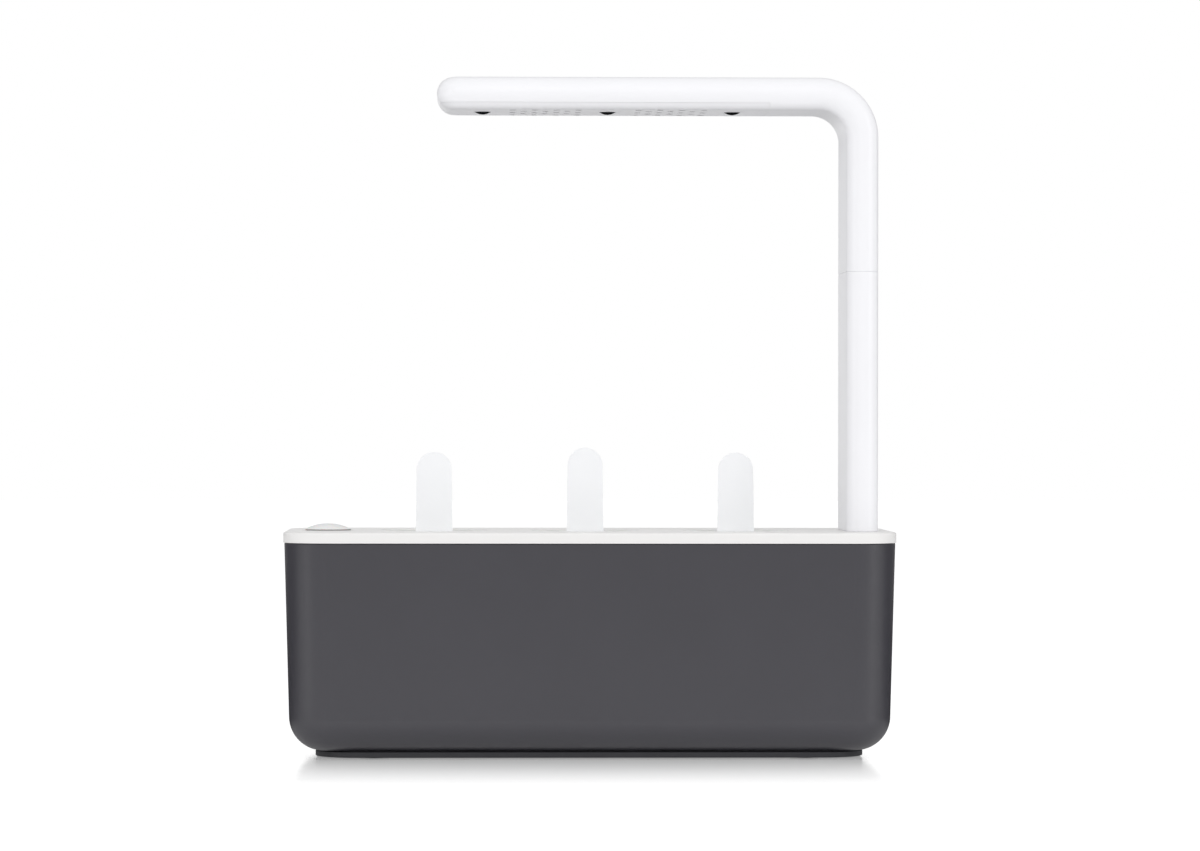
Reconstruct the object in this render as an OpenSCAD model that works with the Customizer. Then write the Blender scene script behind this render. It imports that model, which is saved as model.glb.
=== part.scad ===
// Countertop hydroponic garden: a water tank with a lift-off lid, three plant cups with
// pods and tags, a float, and a grow lamp on a plug-in post.
// Origin: centre of the footprint on the table. +X right, +Y rear, +Z up. Millimetres.

/* [Tank] */
// Height of the tank from its bottom to its rim
tank_h = 101.5; // [98:0.5:125]
// Wall of the tank
tank_wall = 2.4; // [2:0.1:2.8]
// Draft of the tank's walls, in degrees
tank_draft = 1.6; // [0.8:0.1:2.2]
// Radius of the rounded bottom edge of the tank
tank_fillet = 16.7; // [13:0.1:17.5]
// Distance of the tank's rim inside the lid's edge
tank_inset = 0.5; // [0.2:0.1:1]
// Chamfer on the outside of the tank's rim, seen as a dark joint line
rim_chamfer = 0.5; // [0.3:0.1:0.8]
// Width of the notch in the rear wall for the power inlet
notch_w = 14; // [13:0.5:16]
// Depth of that notch below the rim
notch_h = 15.4; // [14:0.2:20]

/* [Plinth and feet] */
// Distance of the plinth's edge inside the lid's edge
plinth_inset = 15.5; // [14:0.1:20]
// Thickness of the plinth's slab
plinth_h = 2.9; // [2.4:0.1:5]
// Height of the shadow gap between plinth and tank
plinth_gap = 0.4; // [0.2:0.1:1]
// Corner radius of the plinth
plinth_r = 21; // [12:0.5:24]
// Distance that the rubber pads stand below the plinth
foot_h = 0.6; // [0.4:0.1:1.2]
// Diameter of the rubber pads
foot_d = 14; // [10:0.5:20]

/* [Lid] */
// Length of the lid
lid_l = 300; // [296:1:340]
// Depth of the lid, front to back
lid_d = 125; // [123:1:150]
// Corner radius of the lid
lid_r = 23; // [21.5:0.5:25]
// Height of the lid's edge
lid_h = 5.2; // [4.8:0.1:7]
// Wall of the lid
lid_wall = 2.4; // [2:0.1:2.6]
// Fillet along the lid's top edge
lid_fillet = 1; // [0.5:0.1:1.5]
// Reach of the lid's locating rib below the tank's rim
rib_h = 6.4; // [4:0.2:9]
// Thickness of the locating rib
rib_t = 1.6; // [1.2:0.1:2]
// Gap between the rib and the tank's wall
rib_gap = 0.4; // [0.3:0.05:0.8]

/* [Plant cups] */
// Gap between the right cup's collar and the socket housing under the lid
socket_gap = 5.7; // [3:0.1:7]
// Distance of the middle plant to the left of the lid's middle
plant_shift = 1.6; // [0:0.1:3]
// Diameter of the cup's flange
cup_flange_d = 52.4; // [50:0.2:54]
// Thickness of the cup's flange
cup_flange_t = 1.4; // [1.2:0.1:1.8]
// Outer diameter of the cup just under its flange
cup_d = 46; // [44.8:0.1:46.6]
// Outer diameter of the cup's floor
cup_floor_d = 39.2; // [38:0.2:42]
// Depth of the cup below the lid's top
cup_depth = 50.6; // [46:0.2:56]
// Wall of the cup
cup_wall = 1.6; // [1.2:0.1:1.8]
// Height of the air slots in the cup's wall
air_slot_h = 14; // [8:0.5:20]
// Width of the wick
wick_w = 14; // [8:0.5:18]
// Thickness of the wick
wick_t = 2.4; // [1.6:0.1:3]
// Distance of the wick's lower end above the tank's floor
wick_clear = 6; // [3:0.5:15]

/* [Pods and tags] */
// Wall of the pod
pod_wall = 1.1; // [0.8:0.1:1.4]
// Width of the pod's rim, seen from above
pod_rim = 1.9; // [1.4:0.1:2.2]
// Thickness of the pod's rim
pod_rim_t = 0.8; // [0.6:0.1:0.9]
// Radius of the sprout holes in the pod's cover
sprout_r = 3.6; // [2:0.2:5]
// Width of a tag at its foot
tag_foot_w = 18.4; // [14:0.1:22]
// Width of a tag below its round top
tag_top_w = 17.4; // [12:0.1:20]
// Thickness of a tag
tag_t = 0.5; // [0.3:0.1:1]
// Length of a tag below the lid's top
tag_root = 10; // [5:0.5:20]
// Height of the left tag above the lid's top
tag_left_h = 38.9; // [30:0.1:50]
// Height of the middle tag above the lid's top
tag_middle_h = 41.1; // [30:0.1:50]
// Height of the right tag above the lid's top
tag_right_h = 38.7; // [30:0.1:50]

/* [Float] */
// Distance of the float's axis from the lid's left edge
float_inset = 20.8; // [20.7:0.1:23]
// Diameter of the float's cap
float_cap_d = 23.4; // [22:0.2:24]
// Height of the cap's dome
float_dome_h = 2.8; // [2:0.1:5]
// Height of the cap's edge above the lid at full water
float_proud = 0.6; // [0.3:0.1:2]
// Outer diameter of the float's body
float_body_d = 19.2; // [16:0.2:20]
// Length of the float's body
float_body_h = 57; // [50:1:62]
// Wall of the float's body
float_wall = 1.2; // [0.8:0.1:2]
// Travel of the float between full and low water
float_travel = 30; // [20:1:34]

/* [Post and lamp] */
// Distance of the post's axis from the lid's right edge
post_inset = 15.7; // [14.6:0.1:17]
// Thickness of the post and of the lamp's arm
lamp_t = 16; // [15:0.2:16.4]
// Width of the post and of the lamp's arm, front to back
lamp_w = 64; // [58:1:68]
// Wall of the post and the lamp
lamp_wall = 2; // [1.6:0.1:2.2]
// Height of the extension above the lid
ext_h = 128; // [60:1:150]
// Height of the arm's underside above the lid
arm_clear = 207.7; // [190:0.1:260]
// Inner radius of the bend between post and arm
bend_in = 13.6; // [8:0.2:20]
// Reach of the arm from the post's axis to its free end
arm_reach = 209.6; // [200:0.1:225]
// Corner radius of the arm's free end, seen from above
arm_end_r = 12; // [10:0.5:20]
// Height of the parting line above the arm's underside
parting_h = 3.2; // [2.6:0.1:4]
// Length of the underside cover from the free end
cover_l = 162.2; // [156:0.5:170]
// Distance of the first light pocket from the free end
led_first = 20.9; // [18:0.1:26]
// Distance of the last light pocket from the cover's other end
led_last = 17.2; // [12:0.1:20]
// Diameter of a light pocket's mouth
pocket_d = 12.4; // [11:0.2:16]
// Depth of a light pocket's dish
pocket_depth = 0.2; // [0.1:0.1:1.5]
// Diameter of a light pocket's throat
throat_d = 8.4; // [7:0.2:10]
// Height by which a lens's dome hangs below the arm
lens_drop = 1.1; // [0.4:0.1:1.6]
// Diameter of the vent holes at the underside
vent_d = 3.2; // [2:0.1:4.4]
// Angle by which the vent holes widen towards the inside
vent_flare = 42; // [0:1:45]
// Distance between vent holes in a row
vent_pitch = 10.8; // [9:0.1:12]

/* [Plugs and power] */
// Length of the plug at the foot of the post and of the lamp
plug_h = 18; // [12:0.5:20]
// Width of the plug, front to back
plug_w = 40; // [30:1:44]
// Thickness of the plug
plug_t = 8; // [6:0.2:8.4]
// Gap all round a plug in its socket
plug_gap = 0.3; // [0.2:0.05:0.4]
// Distance of the power inlet to the left of the post's axis
inlet_offset = 19; // [17:0.1:20.5]
// Bore of the power inlet
inlet_bore = 5.8; // [5.5:0.1:6.4]
// Diameter of the inlet's centre pin
inlet_pin = 2; // [1.6:0.1:2.5]

/* [Hidden] */
$fn = 96;

// Colours
WHITE = [0.96, 0.96, 0.96];
CHARCOAL = [0.31, 0.31, 0.33];
BLACK = [0.12, 0.12, 0.13];
BRASS = [0.8, 0.65, 0.3];
STEEL = [0.7, 0.7, 0.72];
BOARD = [0.1, 0.35, 0.2];

// Small margin that makes a cut run clear of the face it opens
CUT = 1;
// Gap that keeps neighbouring pieces of one body apart
SEAT = 0.1;
// Gap round a piece that lifts out of another
CLEAR = 0.3;

// Levels, from the table up
plinth_top = foot_h + plinth_h;
tank_z = plinth_top + plinth_gap;
rim_z = tank_z + tank_h;
lid_z = rim_z + lid_h;
plate_z = lid_z - lid_wall;
floor_z = tank_z + tank_wall;

// Corner axes shared by the lid and the tank
corner_x = lid_l / 2 - lid_r;
corner_y = lid_d / 2 - lid_r;
tank_r = lid_r - tank_inset;
tank_wall_r = tank_wall / cos(tank_draft);

// Plinth
plinth_l = lid_l - 2 * plinth_inset;
plinth_d = lid_d - 2 * plinth_inset;
plinth_edge = 0.5;
plinth_neck = 3.5;
pad_t = 1.8;
pad_from_corner = 8;
pad_from_side = 14;
pad_x = plinth_l / 2 - plinth_r - pad_from_corner;
pad_y = plinth_d / 2 - pad_from_side;

// Lid
lid_edge_extra = 0.4;
lid_edge_t = lid_wall + lid_edge_extra;
collar_h = 2.6;

// Cup, pod and tag
cup_recess = 0.2;
cup_gap = 0.5;
flange_gap = 0.4;
cup_collar = 2.2;
cup_z = lid_z - cup_depth;
cup_top = lid_z - cup_recess;
cup_seat_z = cup_top - cup_flange_t;
cup_inner_r = cup_d / 2 - cup_wall;
cup_floor_r = cup_floor_d / 2 - cup_wall;
cup_floor_z = cup_z + cup_wall;
air_slot_w = 3;
air_slot_low = 8;
wick_pad_t = 2.2;
wick_pad_inset = 4;
wick_slot_gap = 0.4;
pod_recess = 0.9;
pod_gap = 0.5;
pod_floor_gap = 0.7;
pod_seat_z = cup_top - pod_recess;
pod_rim_z = pod_seat_z + pod_rim_t;
pod_z = cup_floor_z + wick_pad_t + CLEAR;
pod_r = cup_inner_r - pod_gap;
pod_floor_r = cup_floor_r - pod_floor_gap;
pod_rim_r = pod_r + pod_rim;
pod_ledge_r = pod_rim_r + flange_gap;
drain_r = 2;
medium_gap = 0.4;
medium_recess = 1;
medium_r = pod_r - pod_wall - medium_gap;
medium_z = pod_rim_z - medium_recess;
cover_t = 0.6;
sprout_y = 10;
slit_gap = 0.4;
slit_side_gap = 0.25;

// Float
float_x = -lid_l / 2 + float_inset;
float_gap = 0.9;
float_hole_r = float_cap_d / 2 + float_gap;
float_step = 1;
float_top_z = lid_z - float_step;
skirt_h = 5;
guide_wall = 1.4;
guide_flange = 1.2;
guide_gap = 0.4;
guide_bore_r = float_body_d / 2 + guide_gap;
guide_spare = 4.4;
guide_ledge_z = lid_z - float_travel - guide_spare;
guide_sleeve_h = 14;
guide_slot_w = 7;
guide_slot_low = 4;
guide_slot_high = 6;

// Post and lamp
post_x = lid_l / 2 - post_inset;
nose_r = lamp_t / 2;
flat_w = lamp_w - lamp_t;
seam_z = lid_z + ext_h;
arm_z = lid_z + arm_clear;
arm_axis_z = arm_z + nose_r;
bend_r = bend_in + nose_r;
bend_x = post_x - bend_r;
bend_z = arm_axis_z - bend_r;
arm_end_x = post_x - arm_reach;
arm_corner_x = arm_end_x + arm_end_r;
housing_roof_z = arm_z + lamp_t - lamp_wall;

// Light pockets, lenses and emitters; the pockets are spread evenly along the cover
led_pitch = (cover_l - led_first - led_last) / 2;
pocket_wall = 1.4;
pocket_boss_h = 3.5;
lens_gap = 0.2;
lens_flange = 1.2;
lens_flange_t = 0.8;
lens_r = throat_d / 2 - lens_gap;
lens_dome_h = lens_drop + pocket_depth;
lens_ball_r = (lens_r ^ 2 + lens_dome_h ^ 2) / (2 * lens_dome_h);
emitter_r = 3.4;
emitter_t = 0.9;

// Light board, its screws and the cover's clips
board_lift = 5.4;
board_z = arm_z + board_lift;
board_t = 1.6;
board_top = board_z + board_t;
board_w = 36;
board_margin = 10;
board_x0 = arm_end_x + board_margin;
board_x1 = arm_end_x + led_first + 2 * led_pitch + board_margin;
screw_r = 1.1;
screw_head_r = 2.4;
screw_head_h = 1.2;
screw_hole_gap = 0.05;
boss_r = 3;
board_screw_l = 4.5;
board_screw_in = 6;
board_screw_side = 5;
clip_t = 1.2;
clip_w = 8;
clip_h = 8.6;
clip_foot = 1.2;
clip_hook = 0.5;
clip_hook_h = 1.6;
clip_y = flat_w / 2 + clip_t;
catch_gap = 2.9;
catch_y = clip_y + catch_gap;
catch_w = 4;
catch_lift = 5.2;

// Plugs and sockets
plug_body_h = 8;
plug_flat = plug_w - plug_t;
cavity_spare = 0.6;
cavity_h = plug_h + cavity_spare;
socket_floor = 2;
slot_margin = 0.2;
contact_w = 3;
contact_t = 0.5;
contact_pitch = 8;
contact_foot = 2;
socket_contact_end = 3;
wire_r = 1.2;
wire_y = 3;
wire_hole_r = 1.6;
wire_lift = 1;
wire_lap = 8;

// Socket housing under the lid
box_h = 24;
box_wall = 1.8;
box_left = 26.8;
box_right = 8.6;
box_x0 = post_x - box_left;
box_x1 = post_x + box_right;
box_y = 33;
box_z = plate_z - box_h;
divider_x = post_x - plug_t / 2 - plug_gap - box_wall;
column_r = 3.4;
column_inset = 4.4;
column_bore_h = 12;
socket_screw_l = 10;
base_t = 2;
neck_gap = 2.4;
neck_y = corner_y + tank_r - tank_wall - neck_gap;
inlet_drop = 14;
inlet_x = post_x - inlet_offset;
inlet_z = lid_z - inlet_drop;
inlet_w = 12;
inlet_in = 14;
inlet_depth = 9.5;
inlet_plate_t = 2;

// Timer board: its edge gap, hang below the roof, spacers and parts
timer_gap = 0.6;
timer_hang = 6;
timer_side = 9;
spacer_r = 2;
spacer_in = 4;
chip = [8, 8, 1.6];
capacitor_r = 4;
capacitor_h = 8;
coil = [9, 5, 3];

// Distance between neighbouring plants, and the place of plant i (-1, 0 or 1)
plant_pitch = box_x0 - socket_gap - cup_flange_d / 2 - cup_collar + plant_shift;
function plant_x(i) = i * plant_pitch - plant_shift;

// Slot shape: straight part l along X, round ends of radius r
module track(l, r) {
    square([l, 2 * r], center = true);
    for (side = [-1, 1])
        translate([side * l / 2, 0])
            circle(r);
}

// Rounded rectangle with corner axes at (+-ax, +-ay)
module rounded(ax, ay, r) {
    square([2 * ax, 2 * (ay + r)], center = true);
    square([2 * (ax + r), 2 * ay], center = true);
    for (sx = [-1, 1])
        for (sy = [-1, 1])
            translate([sx * ax, sy * ay])
                circle(r);
}

// Carries a half profile (x outwards from the corner axis, y up) once round a rounded rectangle
module carried_round(ax, ay) {
    for (turn = [0, 1])
        rotate([0, 0, 180 * turn]) {
            translate([ax, ay, 0])
                rotate_extrude(angle = 90)
                    children();
            translate([ax, -ay, 0])
                rotate([0, 0, -90])
                    rotate_extrude(angle = 90)
                        children();
            translate([-ax, ay, 0])
                rotate([90, 0, 90])
                    linear_extrude(2 * ax)
                        children();
            translate([ax, ay, 0])
                rotate([90, 0, 0])
                    linear_extrude(2 * ay)
                        children();
        }
}

// Half profile of a drafted tub: rim radius r at top, bottom at z, bottom edge rounded
module tub_profile(r, top, z, fillet) {
    axis_y = z + fillet;
    axis_x = r - (top - axis_y) * tan(tank_draft) - fillet / cos(tank_draft);
    intersection() {
        union() {
            polygon([
                [0, z],
                [axis_x, z],
                [axis_x + fillet * cos(tank_draft), axis_y - fillet * sin(tank_draft)],
                [r, top],
                [0, top]
            ]);
            translate([axis_x, axis_y])
                circle(fillet);
        }
        square([2 * lid_r, 2 * top]);
    }
}

module tub(r, top, z, fillet) {
    carried_round(corner_x, corner_y)
        tub_profile(r, top, z, fillet);
    translate([-corner_x, -corner_y, z])
        cube([2 * corner_x, 2 * corner_y, top - z]);
}

// ---- Tank ----

module tank_shell() {
    color(CHARCOAL)
        difference() {
            tub(tank_r, rim_z, tank_z, tank_fillet);
            // Inside, with the same corner axes and a bottom edge round the same axis;
            // it runs past the rim along the drafted wall
            tub(
                tank_r - tank_wall_r + CUT * tan(tank_draft),
                rim_z + CUT,
                floor_z,
                tank_fillet - tank_wall
            );
            // Chamfer round the rim
            carried_round(corner_x, corner_y)
                polygon([
                    [tank_r - rim_chamfer, rim_z + SEAT],
                    [tank_r + CUT, rim_z + SEAT],
                    [tank_r + CUT, rim_z - rim_chamfer - SEAT],
                    [tank_r, rim_z - rim_chamfer],
                    [tank_r - rim_chamfer, rim_z]
                ]);
            // Notch for the power inlet, open at the top
            translate([inlet_x - notch_w / 2, corner_y, rim_z - notch_h])
                cube([notch_w, lid_r + CUT, notch_h + CUT]);
        }
}

module base_plinth() {
    ax = plinth_l / 2 - plinth_r;
    ay = plinth_d / 2 - plinth_r;
    color(BLACK)
        difference() {
            union() {
                carried_round(ax, ay)
                    polygon([
                        [0, foot_h],
                        [plinth_r - plinth_edge, foot_h],
                        [plinth_r, foot_h + plinth_edge],
                        [plinth_r, plinth_top - plinth_edge],
                        [plinth_r - plinth_edge, plinth_top],
                        [0, plinth_top]
                    ]);
                translate([-ax, -ay, foot_h])
                    cube([2 * ax, 2 * ay, plinth_h]);
                translate([0, 0, plinth_top])
                    linear_extrude(plinth_gap)
                        rounded(ax, ay, plinth_r - plinth_neck);
            }
            for (sx = [-1, 1])
                for (sy = [-1, 1])
                    translate([sx * pad_x, sy * pad_y, -CUT])
                        cylinder(d = foot_d + CLEAR, h = pad_t + CUT);
        }
}

module foot_pads() {
    color(BLACK)
        for (sx = [-1, 1])
            for (sy = [-1, 1])
                translate([sx * pad_x, sy * pad_y, 0])
                    cylinder(d = foot_d, h = pad_t);
}

// ---- Lid ----

module lid_skin() {
    difference() {
        union() {
            // Edge and top, with a filleted top edge
            carried_round(corner_x, corner_y)
                union() {
                    square([lid_r - lid_fillet, lid_z]);
                    square([lid_r, lid_z - lid_fillet]);
                    translate([lid_r - lid_fillet, lid_z - lid_fillet])
                        circle(lid_fillet);
                }
            translate([-corner_x, -corner_y, 0])
                cube([2 * corner_x, 2 * corner_y, lid_z]);
        }
        translate([0, 0, -CUT])
            linear_extrude(rim_z + CUT)
                rounded(corner_x, corner_y, lid_r + CUT);
        translate([0, 0, rim_z - CUT])
            linear_extrude(lid_h - lid_wall + CUT)
                rounded(corner_x, corner_y, lid_r - lid_edge_t);
    }
}

// Rib that drops inside the tank's wall and centres the lid
module locating_rib() {
    outer_r = tank_r - tank_wall_r - rib_h * tan(tank_draft) - rib_gap;
    difference() {
        translate([0, 0, rim_z - rib_h])
            linear_extrude(plate_z - rim_z + rib_h)
                difference() {
                    rounded(corner_x, corner_y, outer_r);
                    rounded(corner_x, corner_y, outer_r - rib_t);
                }
        translate([inlet_x - notch_w / 2 - CUT, corner_y, rim_z - rib_h - CUT])
            cube([notch_w + 2 * CUT, lid_r, rib_h + lid_h]);
    }
}

module lid_cover() {
    color(WHITE)
        difference() {
            union() {
                lid_skin();
                locating_rib();
                for (i = [-1:1])
                    translate([plant_x(i), 0, plate_z - collar_h])
                        cylinder(r = cup_flange_d / 2 + cup_collar, h = collar_h + SEAT);
            }
            for (i = [-1:1])
                translate([plant_x(i), 0, 0]) {
                    translate([0, 0, cup_seat_z])
                        cylinder(r = cup_flange_d / 2 + flange_gap, h = lid_h);
                    translate([0, 0, rim_z - CUT])
                        cylinder(r = cup_d / 2 + cup_gap, h = lid_h + 2 * CUT);
                }
            translate([float_x, 0, rim_z - CUT])
                cylinder(r = float_hole_r, h = lid_h + 2 * CUT);
            translate([post_x, 0, rim_z - CUT])
                linear_extrude(lid_h + 2 * CUT)
                    rotate(90)
                        track(plug_flat, plug_t / 2 + plug_gap + slot_margin);
        }
}

// Cage under the lid that keeps the float upright; slots let water through
module float_guide() {
    tube_r = float_hole_r;
    slot_l = 2 * (tube_r + lid_wall);
    color(WHITE)
        translate([float_x, 0, 0])
            difference() {
                union() {
                    translate([0, 0, plate_z - guide_wall])
                        cylinder(r = tube_r + guide_wall + guide_flange, h = guide_wall);
                    translate([0, 0, guide_ledge_z])
                        cylinder(r = tube_r + guide_wall, h = plate_z - guide_ledge_z);
                    translate([0, 0, guide_ledge_z - guide_sleeve_h])
                        cylinder(r = guide_bore_r + guide_wall, h = guide_sleeve_h + SEAT);
                }
                translate([0, 0, guide_ledge_z + guide_wall])
                    cylinder(r = tube_r, h = lid_z);
                translate([0, 0, guide_ledge_z - guide_sleeve_h - CUT])
                    cylinder(r = guide_bore_r, h = lid_z);
                for (turn = [0, 90])
                    rotate([0, 0, turn])
                        translate([-slot_l / 2, -guide_slot_w / 2, guide_ledge_z + guide_slot_low])
                            cube([
                                slot_l,
                                guide_slot_w,
                                plate_z - guide_ledge_z - guide_slot_low - guide_slot_high
                            ]);
            }
}

// Plan of the box under the lid that holds the socket, the timer and the inlet
module socket_plan(grow) {
    translate([box_x0 - grow, -box_y - grow])
        square([box_x1 - box_x0 + 2 * grow, 2 * (box_y + grow)]);
    translate([inlet_x - inlet_w / 2 - box_wall - grow, 0])
        square([inlet_w + 2 * (box_wall + grow), neck_y + grow]);
}

module socket_columns(r, h) {
    for (x = [box_x0 + column_inset, box_x1 - column_inset])
        for (side = [-1, 1])
            translate([x, side * (box_y - column_inset), 0])
                cylinder(r = r, h = h);
}

module lamp_socket() {
    color(WHITE)
        difference() {
            translate([0, 0, box_z])
                linear_extrude(box_h)
                    socket_plan(0);
            // Compartment for the timer board and the inlet, open below
            difference() {
                translate([0, 0, box_z - CUT])
                    linear_extrude(box_h - box_wall + CUT)
                        difference() {
                            socket_plan(-box_wall);
                            translate([divider_x, -box_y])
                                square([box_x1 - divider_x, 2 * box_y]);
                        }
                translate([0, 0, box_z])
                    socket_columns(column_r, box_h);
            }
            // Mouth that takes the post's plug
            translate([post_x, 0, lid_z - cavity_h])
                linear_extrude(cavity_h)
                    rotate(90)
                        track(plug_flat, plug_t / 2 + plug_gap);
            // Recesses for the contact springs
            contact_strips(lid_z - cavity_h - socket_floor, cavity_h, -1, SEAT);
            // Window in the neck's end wall for the inlet
            translate([inlet_x - inlet_w / 2 - SEAT, neck_y - 2 * box_wall, inlet_z - inlet_w / 2 - SEAT])
                cube([inlet_w + 2 * SEAT, 3 * box_wall, inlet_w + 2 * SEAT]);
            translate([0, 0, box_z - CUT])
                socket_columns(screw_r + screw_hole_gap, column_bore_h + CUT);
        }
}

// Three strips on the left side of a socket (side -1) or of a plug (side 1)
module contact_strips(z, h, side, grow) {
    face_x = post_x - plug_t / 2 - (side < 0 ? plug_gap + contact_t : 0);
    for (i = [-1:1])
        translate([face_x - grow, i * contact_pitch - contact_w / 2 - grow, z])
            cube([contact_t + 2 * grow, contact_w + 2 * grow, h]);
}

module socket_contacts() {
    color(BRASS)
        contact_strips(lid_z - cavity_h - socket_floor, cavity_h - socket_contact_end, -1, 0);
}

module timer_board() {
    x0 = box_x0 + box_wall + timer_gap;
    x1 = divider_x - timer_gap;
    middle_x = (x0 + x1) / 2;
    half_y = box_y - timer_side;
    z = plate_z - box_wall - timer_hang;
    color(BOARD) {
        translate([x0, -half_y, z])
            cube([x1 - x0, 2 * half_y, board_t]);
        // Two spacers that carry the board under the compartment's roof
        for (side = [-1, 1])
            translate([middle_x, side * (half_y - spacer_in), z])
                cylinder(r = spacer_r, h = plate_z - box_wall - z);
        // Timer chip, capacitor and coil on the board's underside
        translate([middle_x - chip.x / 2, -chip.y / 2, z - chip.z])
            cube(chip);
        translate([middle_x, -2 * chip.y, z - capacitor_h])
            cylinder(r = capacitor_r, h = capacitor_h);
        translate([middle_x - coil.x / 2, 2 * chip.y - coil.y, z - coil.z])
            cube(coil);
    }
}

module dc_inlet() {
    face_y = corner_y + tank_r - notch_h * tan(tank_draft) - SEAT;
    body_y = neck_y - inlet_in;
    color(BLACK) {
        difference() {
            union() {
                translate([inlet_x - inlet_w / 2, body_y, inlet_z - inlet_w / 2])
                    cube([inlet_w, face_y - CUT - body_y, inlet_w]);
                translate([
                    inlet_x - notch_w / 2 + CLEAR,
                    face_y - inlet_plate_t,
                    rim_z - notch_h + CLEAR
                ])
                    cube([notch_w - 2 * CLEAR, inlet_plate_t, notch_h - 2 * CLEAR]);
            }
            translate([inlet_x, face_y + CUT, inlet_z])
                rotate([90, 0, 0])
                    cylinder(d = inlet_bore, h = inlet_depth + CUT);
        }
        translate([inlet_x, face_y - CUT, inlet_z])
            rotate([90, 0, 0])
                cylinder(d = inlet_pin, h = inlet_depth);
    }
}

module socket_base() {
    color(WHITE)
        difference() {
            translate([0, 0, box_z - base_t])
                linear_extrude(base_t)
                    socket_plan(0);
            translate([0, 0, box_z - base_t - CUT])
                socket_columns(screw_r + SEAT, base_t + 2 * CUT);
        }
}

module socket_screws() {
    color(STEEL)
        translate([0, 0, box_z - base_t]) {
            translate([0, 0, -screw_head_h])
                socket_columns(screw_head_r, screw_head_h);
            translate([0, 0, -SEAT])
                socket_columns(screw_r, base_t + socket_screw_l);
        }
}

// ---- Float ----

module float_cap() {
    rim_r = float_cap_d / 2;
    rim = lid_z + float_proud;
    dome_r = (rim_r * rim_r + float_dome_h * float_dome_h) / (2 * float_dome_h);
    color(WHITE)
        translate([float_x, 0, 0])
            difference() {
                union() {
                    intersection() {
                        translate([0, 0, rim + float_dome_h - dome_r])
                            sphere(r = dome_r);
                        translate([0, 0, rim])
                            cylinder(r = rim_r, h = 2 * float_dome_h);
                    }
                    translate([0, 0, float_top_z])
                        cylinder(r1 = float_body_d / 2, r2 = rim_r, h = rim - float_top_z);
                    translate([0, 0, float_top_z - skirt_h])
                        cylinder(r = float_body_d / 2 - float_wall - SEAT, h = skirt_h + SEAT);
                }
                translate([0, 0, float_top_z - skirt_h - CUT])
                    cylinder(r = float_body_d / 2 - 2 * float_wall - SEAT, h = skirt_h + 2 * CUT);
            }
}

module float_body() {
    color(WHITE)
        translate([float_x, 0, float_top_z - float_body_h])
            difference() {
                cylinder(d = float_body_d, h = float_body_h);
                translate([0, 0, float_wall])
                    cylinder(d = float_body_d - 2 * float_wall, h = float_body_h);
            }
}

// ---- Plant cups and wicks ----

module plant_cup(i) {
    flange_r = cup_flange_d / 2;
    color(WHITE)
        translate([plant_x(i), 0, 0])
            difference() {
                rotate_extrude()
                    polygon([
                        [0, cup_z],
                        [cup_floor_d / 2, cup_z],
                        [cup_d / 2, cup_seat_z],
                        [flange_r, cup_seat_z],
                        [flange_r, cup_top],
                        [pod_ledge_r, cup_top],
                        [pod_ledge_r, pod_seat_z],
                        [cup_inner_r, pod_seat_z],
                        [cup_floor_r, cup_floor_z],
                        [0, cup_floor_z]
                    ]);
                // Slot for the wick
                translate([-wick_w / 2 - wick_slot_gap, -wick_t / 2 - wick_slot_gap, cup_z - CUT])
                    cube([wick_w + 2 * wick_slot_gap, wick_t + 2 * wick_slot_gap, 3 * cup_wall]);
                // Air slots round the wall
                for (turn = [30:60:330])
                    rotate([0, 0, turn])
                        translate([cup_floor_r - 2 * cup_wall, -air_slot_w / 2, cup_floor_z + air_slot_low])
                            cube([cup_d / 2, air_slot_w, air_slot_h]);
            }
}

module wick(i) {
    wick_z = floor_z + wick_clear;
    color(BLACK)
        translate([plant_x(i), 0, 0]) {
            translate([0, 0, cup_floor_z])
                cylinder(r = cup_floor_r - wick_pad_inset, h = wick_pad_t);
            translate([-wick_w / 2, -wick_t / 2, wick_z])
                cube([wick_w, wick_t, cup_floor_z + SEAT - wick_z]);
        }
}

// ---- Pods ----

module pod_shell(i) {
    inner_r = pod_r - pod_wall;
    color(WHITE)
        translate([plant_x(i), 0, 0])
            difference() {
                rotate_extrude()
                    polygon([
                        [0, pod_z],
                        [pod_floor_r, pod_z],
                        [pod_r, pod_seat_z],
                        [pod_rim_r, pod_seat_z],
                        [pod_rim_r, pod_rim_z],
                        [inner_r, pod_rim_z],
                        [pod_floor_r - pod_wall, pod_z + pod_wall],
                        [0, pod_z + pod_wall]
                    ]);
                for (turn = [0:72:288])
                    rotate([0, 0, turn])
                        translate([pod_floor_r / 2, 0, pod_z - CUT])
                            cylinder(r = drain_r, h = pod_wall + 2 * CUT);
            }
}

module growing_medium(i) {
    low_z = pod_z + pod_wall;
    color([0.2, 0.15, 0.1])
        translate([plant_x(i), 0, 0])
            difference() {
                translate([0, 0, low_z])
                    cylinder(
                        r1 = pod_floor_r - pod_wall - medium_gap,
                        r2 = medium_r,
                        h = medium_z - low_z
                    );
                tag_slit(tag_root + CUT);
            }
}

// Slit that takes the foot of a tag
module tag_slit(depth) {
    translate([-tag_foot_w / 2 - slit_gap, -tag_t / 2 - slit_side_gap, lid_z - depth])
        cube([tag_foot_w + 2 * slit_gap, tag_t + 2 * slit_side_gap, depth + CUT]);
}

module pod_cover(i) {
    color(WHITE)
        translate([plant_x(i), 0, 0])
            difference() {
                translate([0, 0, medium_z])
                    cylinder(r = medium_r, h = cover_t);
                tag_slit(tag_root);
                for (side = [-1, 1])
                    translate([0, side * sprout_y, medium_z - CUT])
                        cylinder(r = sprout_r, h = cover_t + 2 * CUT);
            }
}

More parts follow.
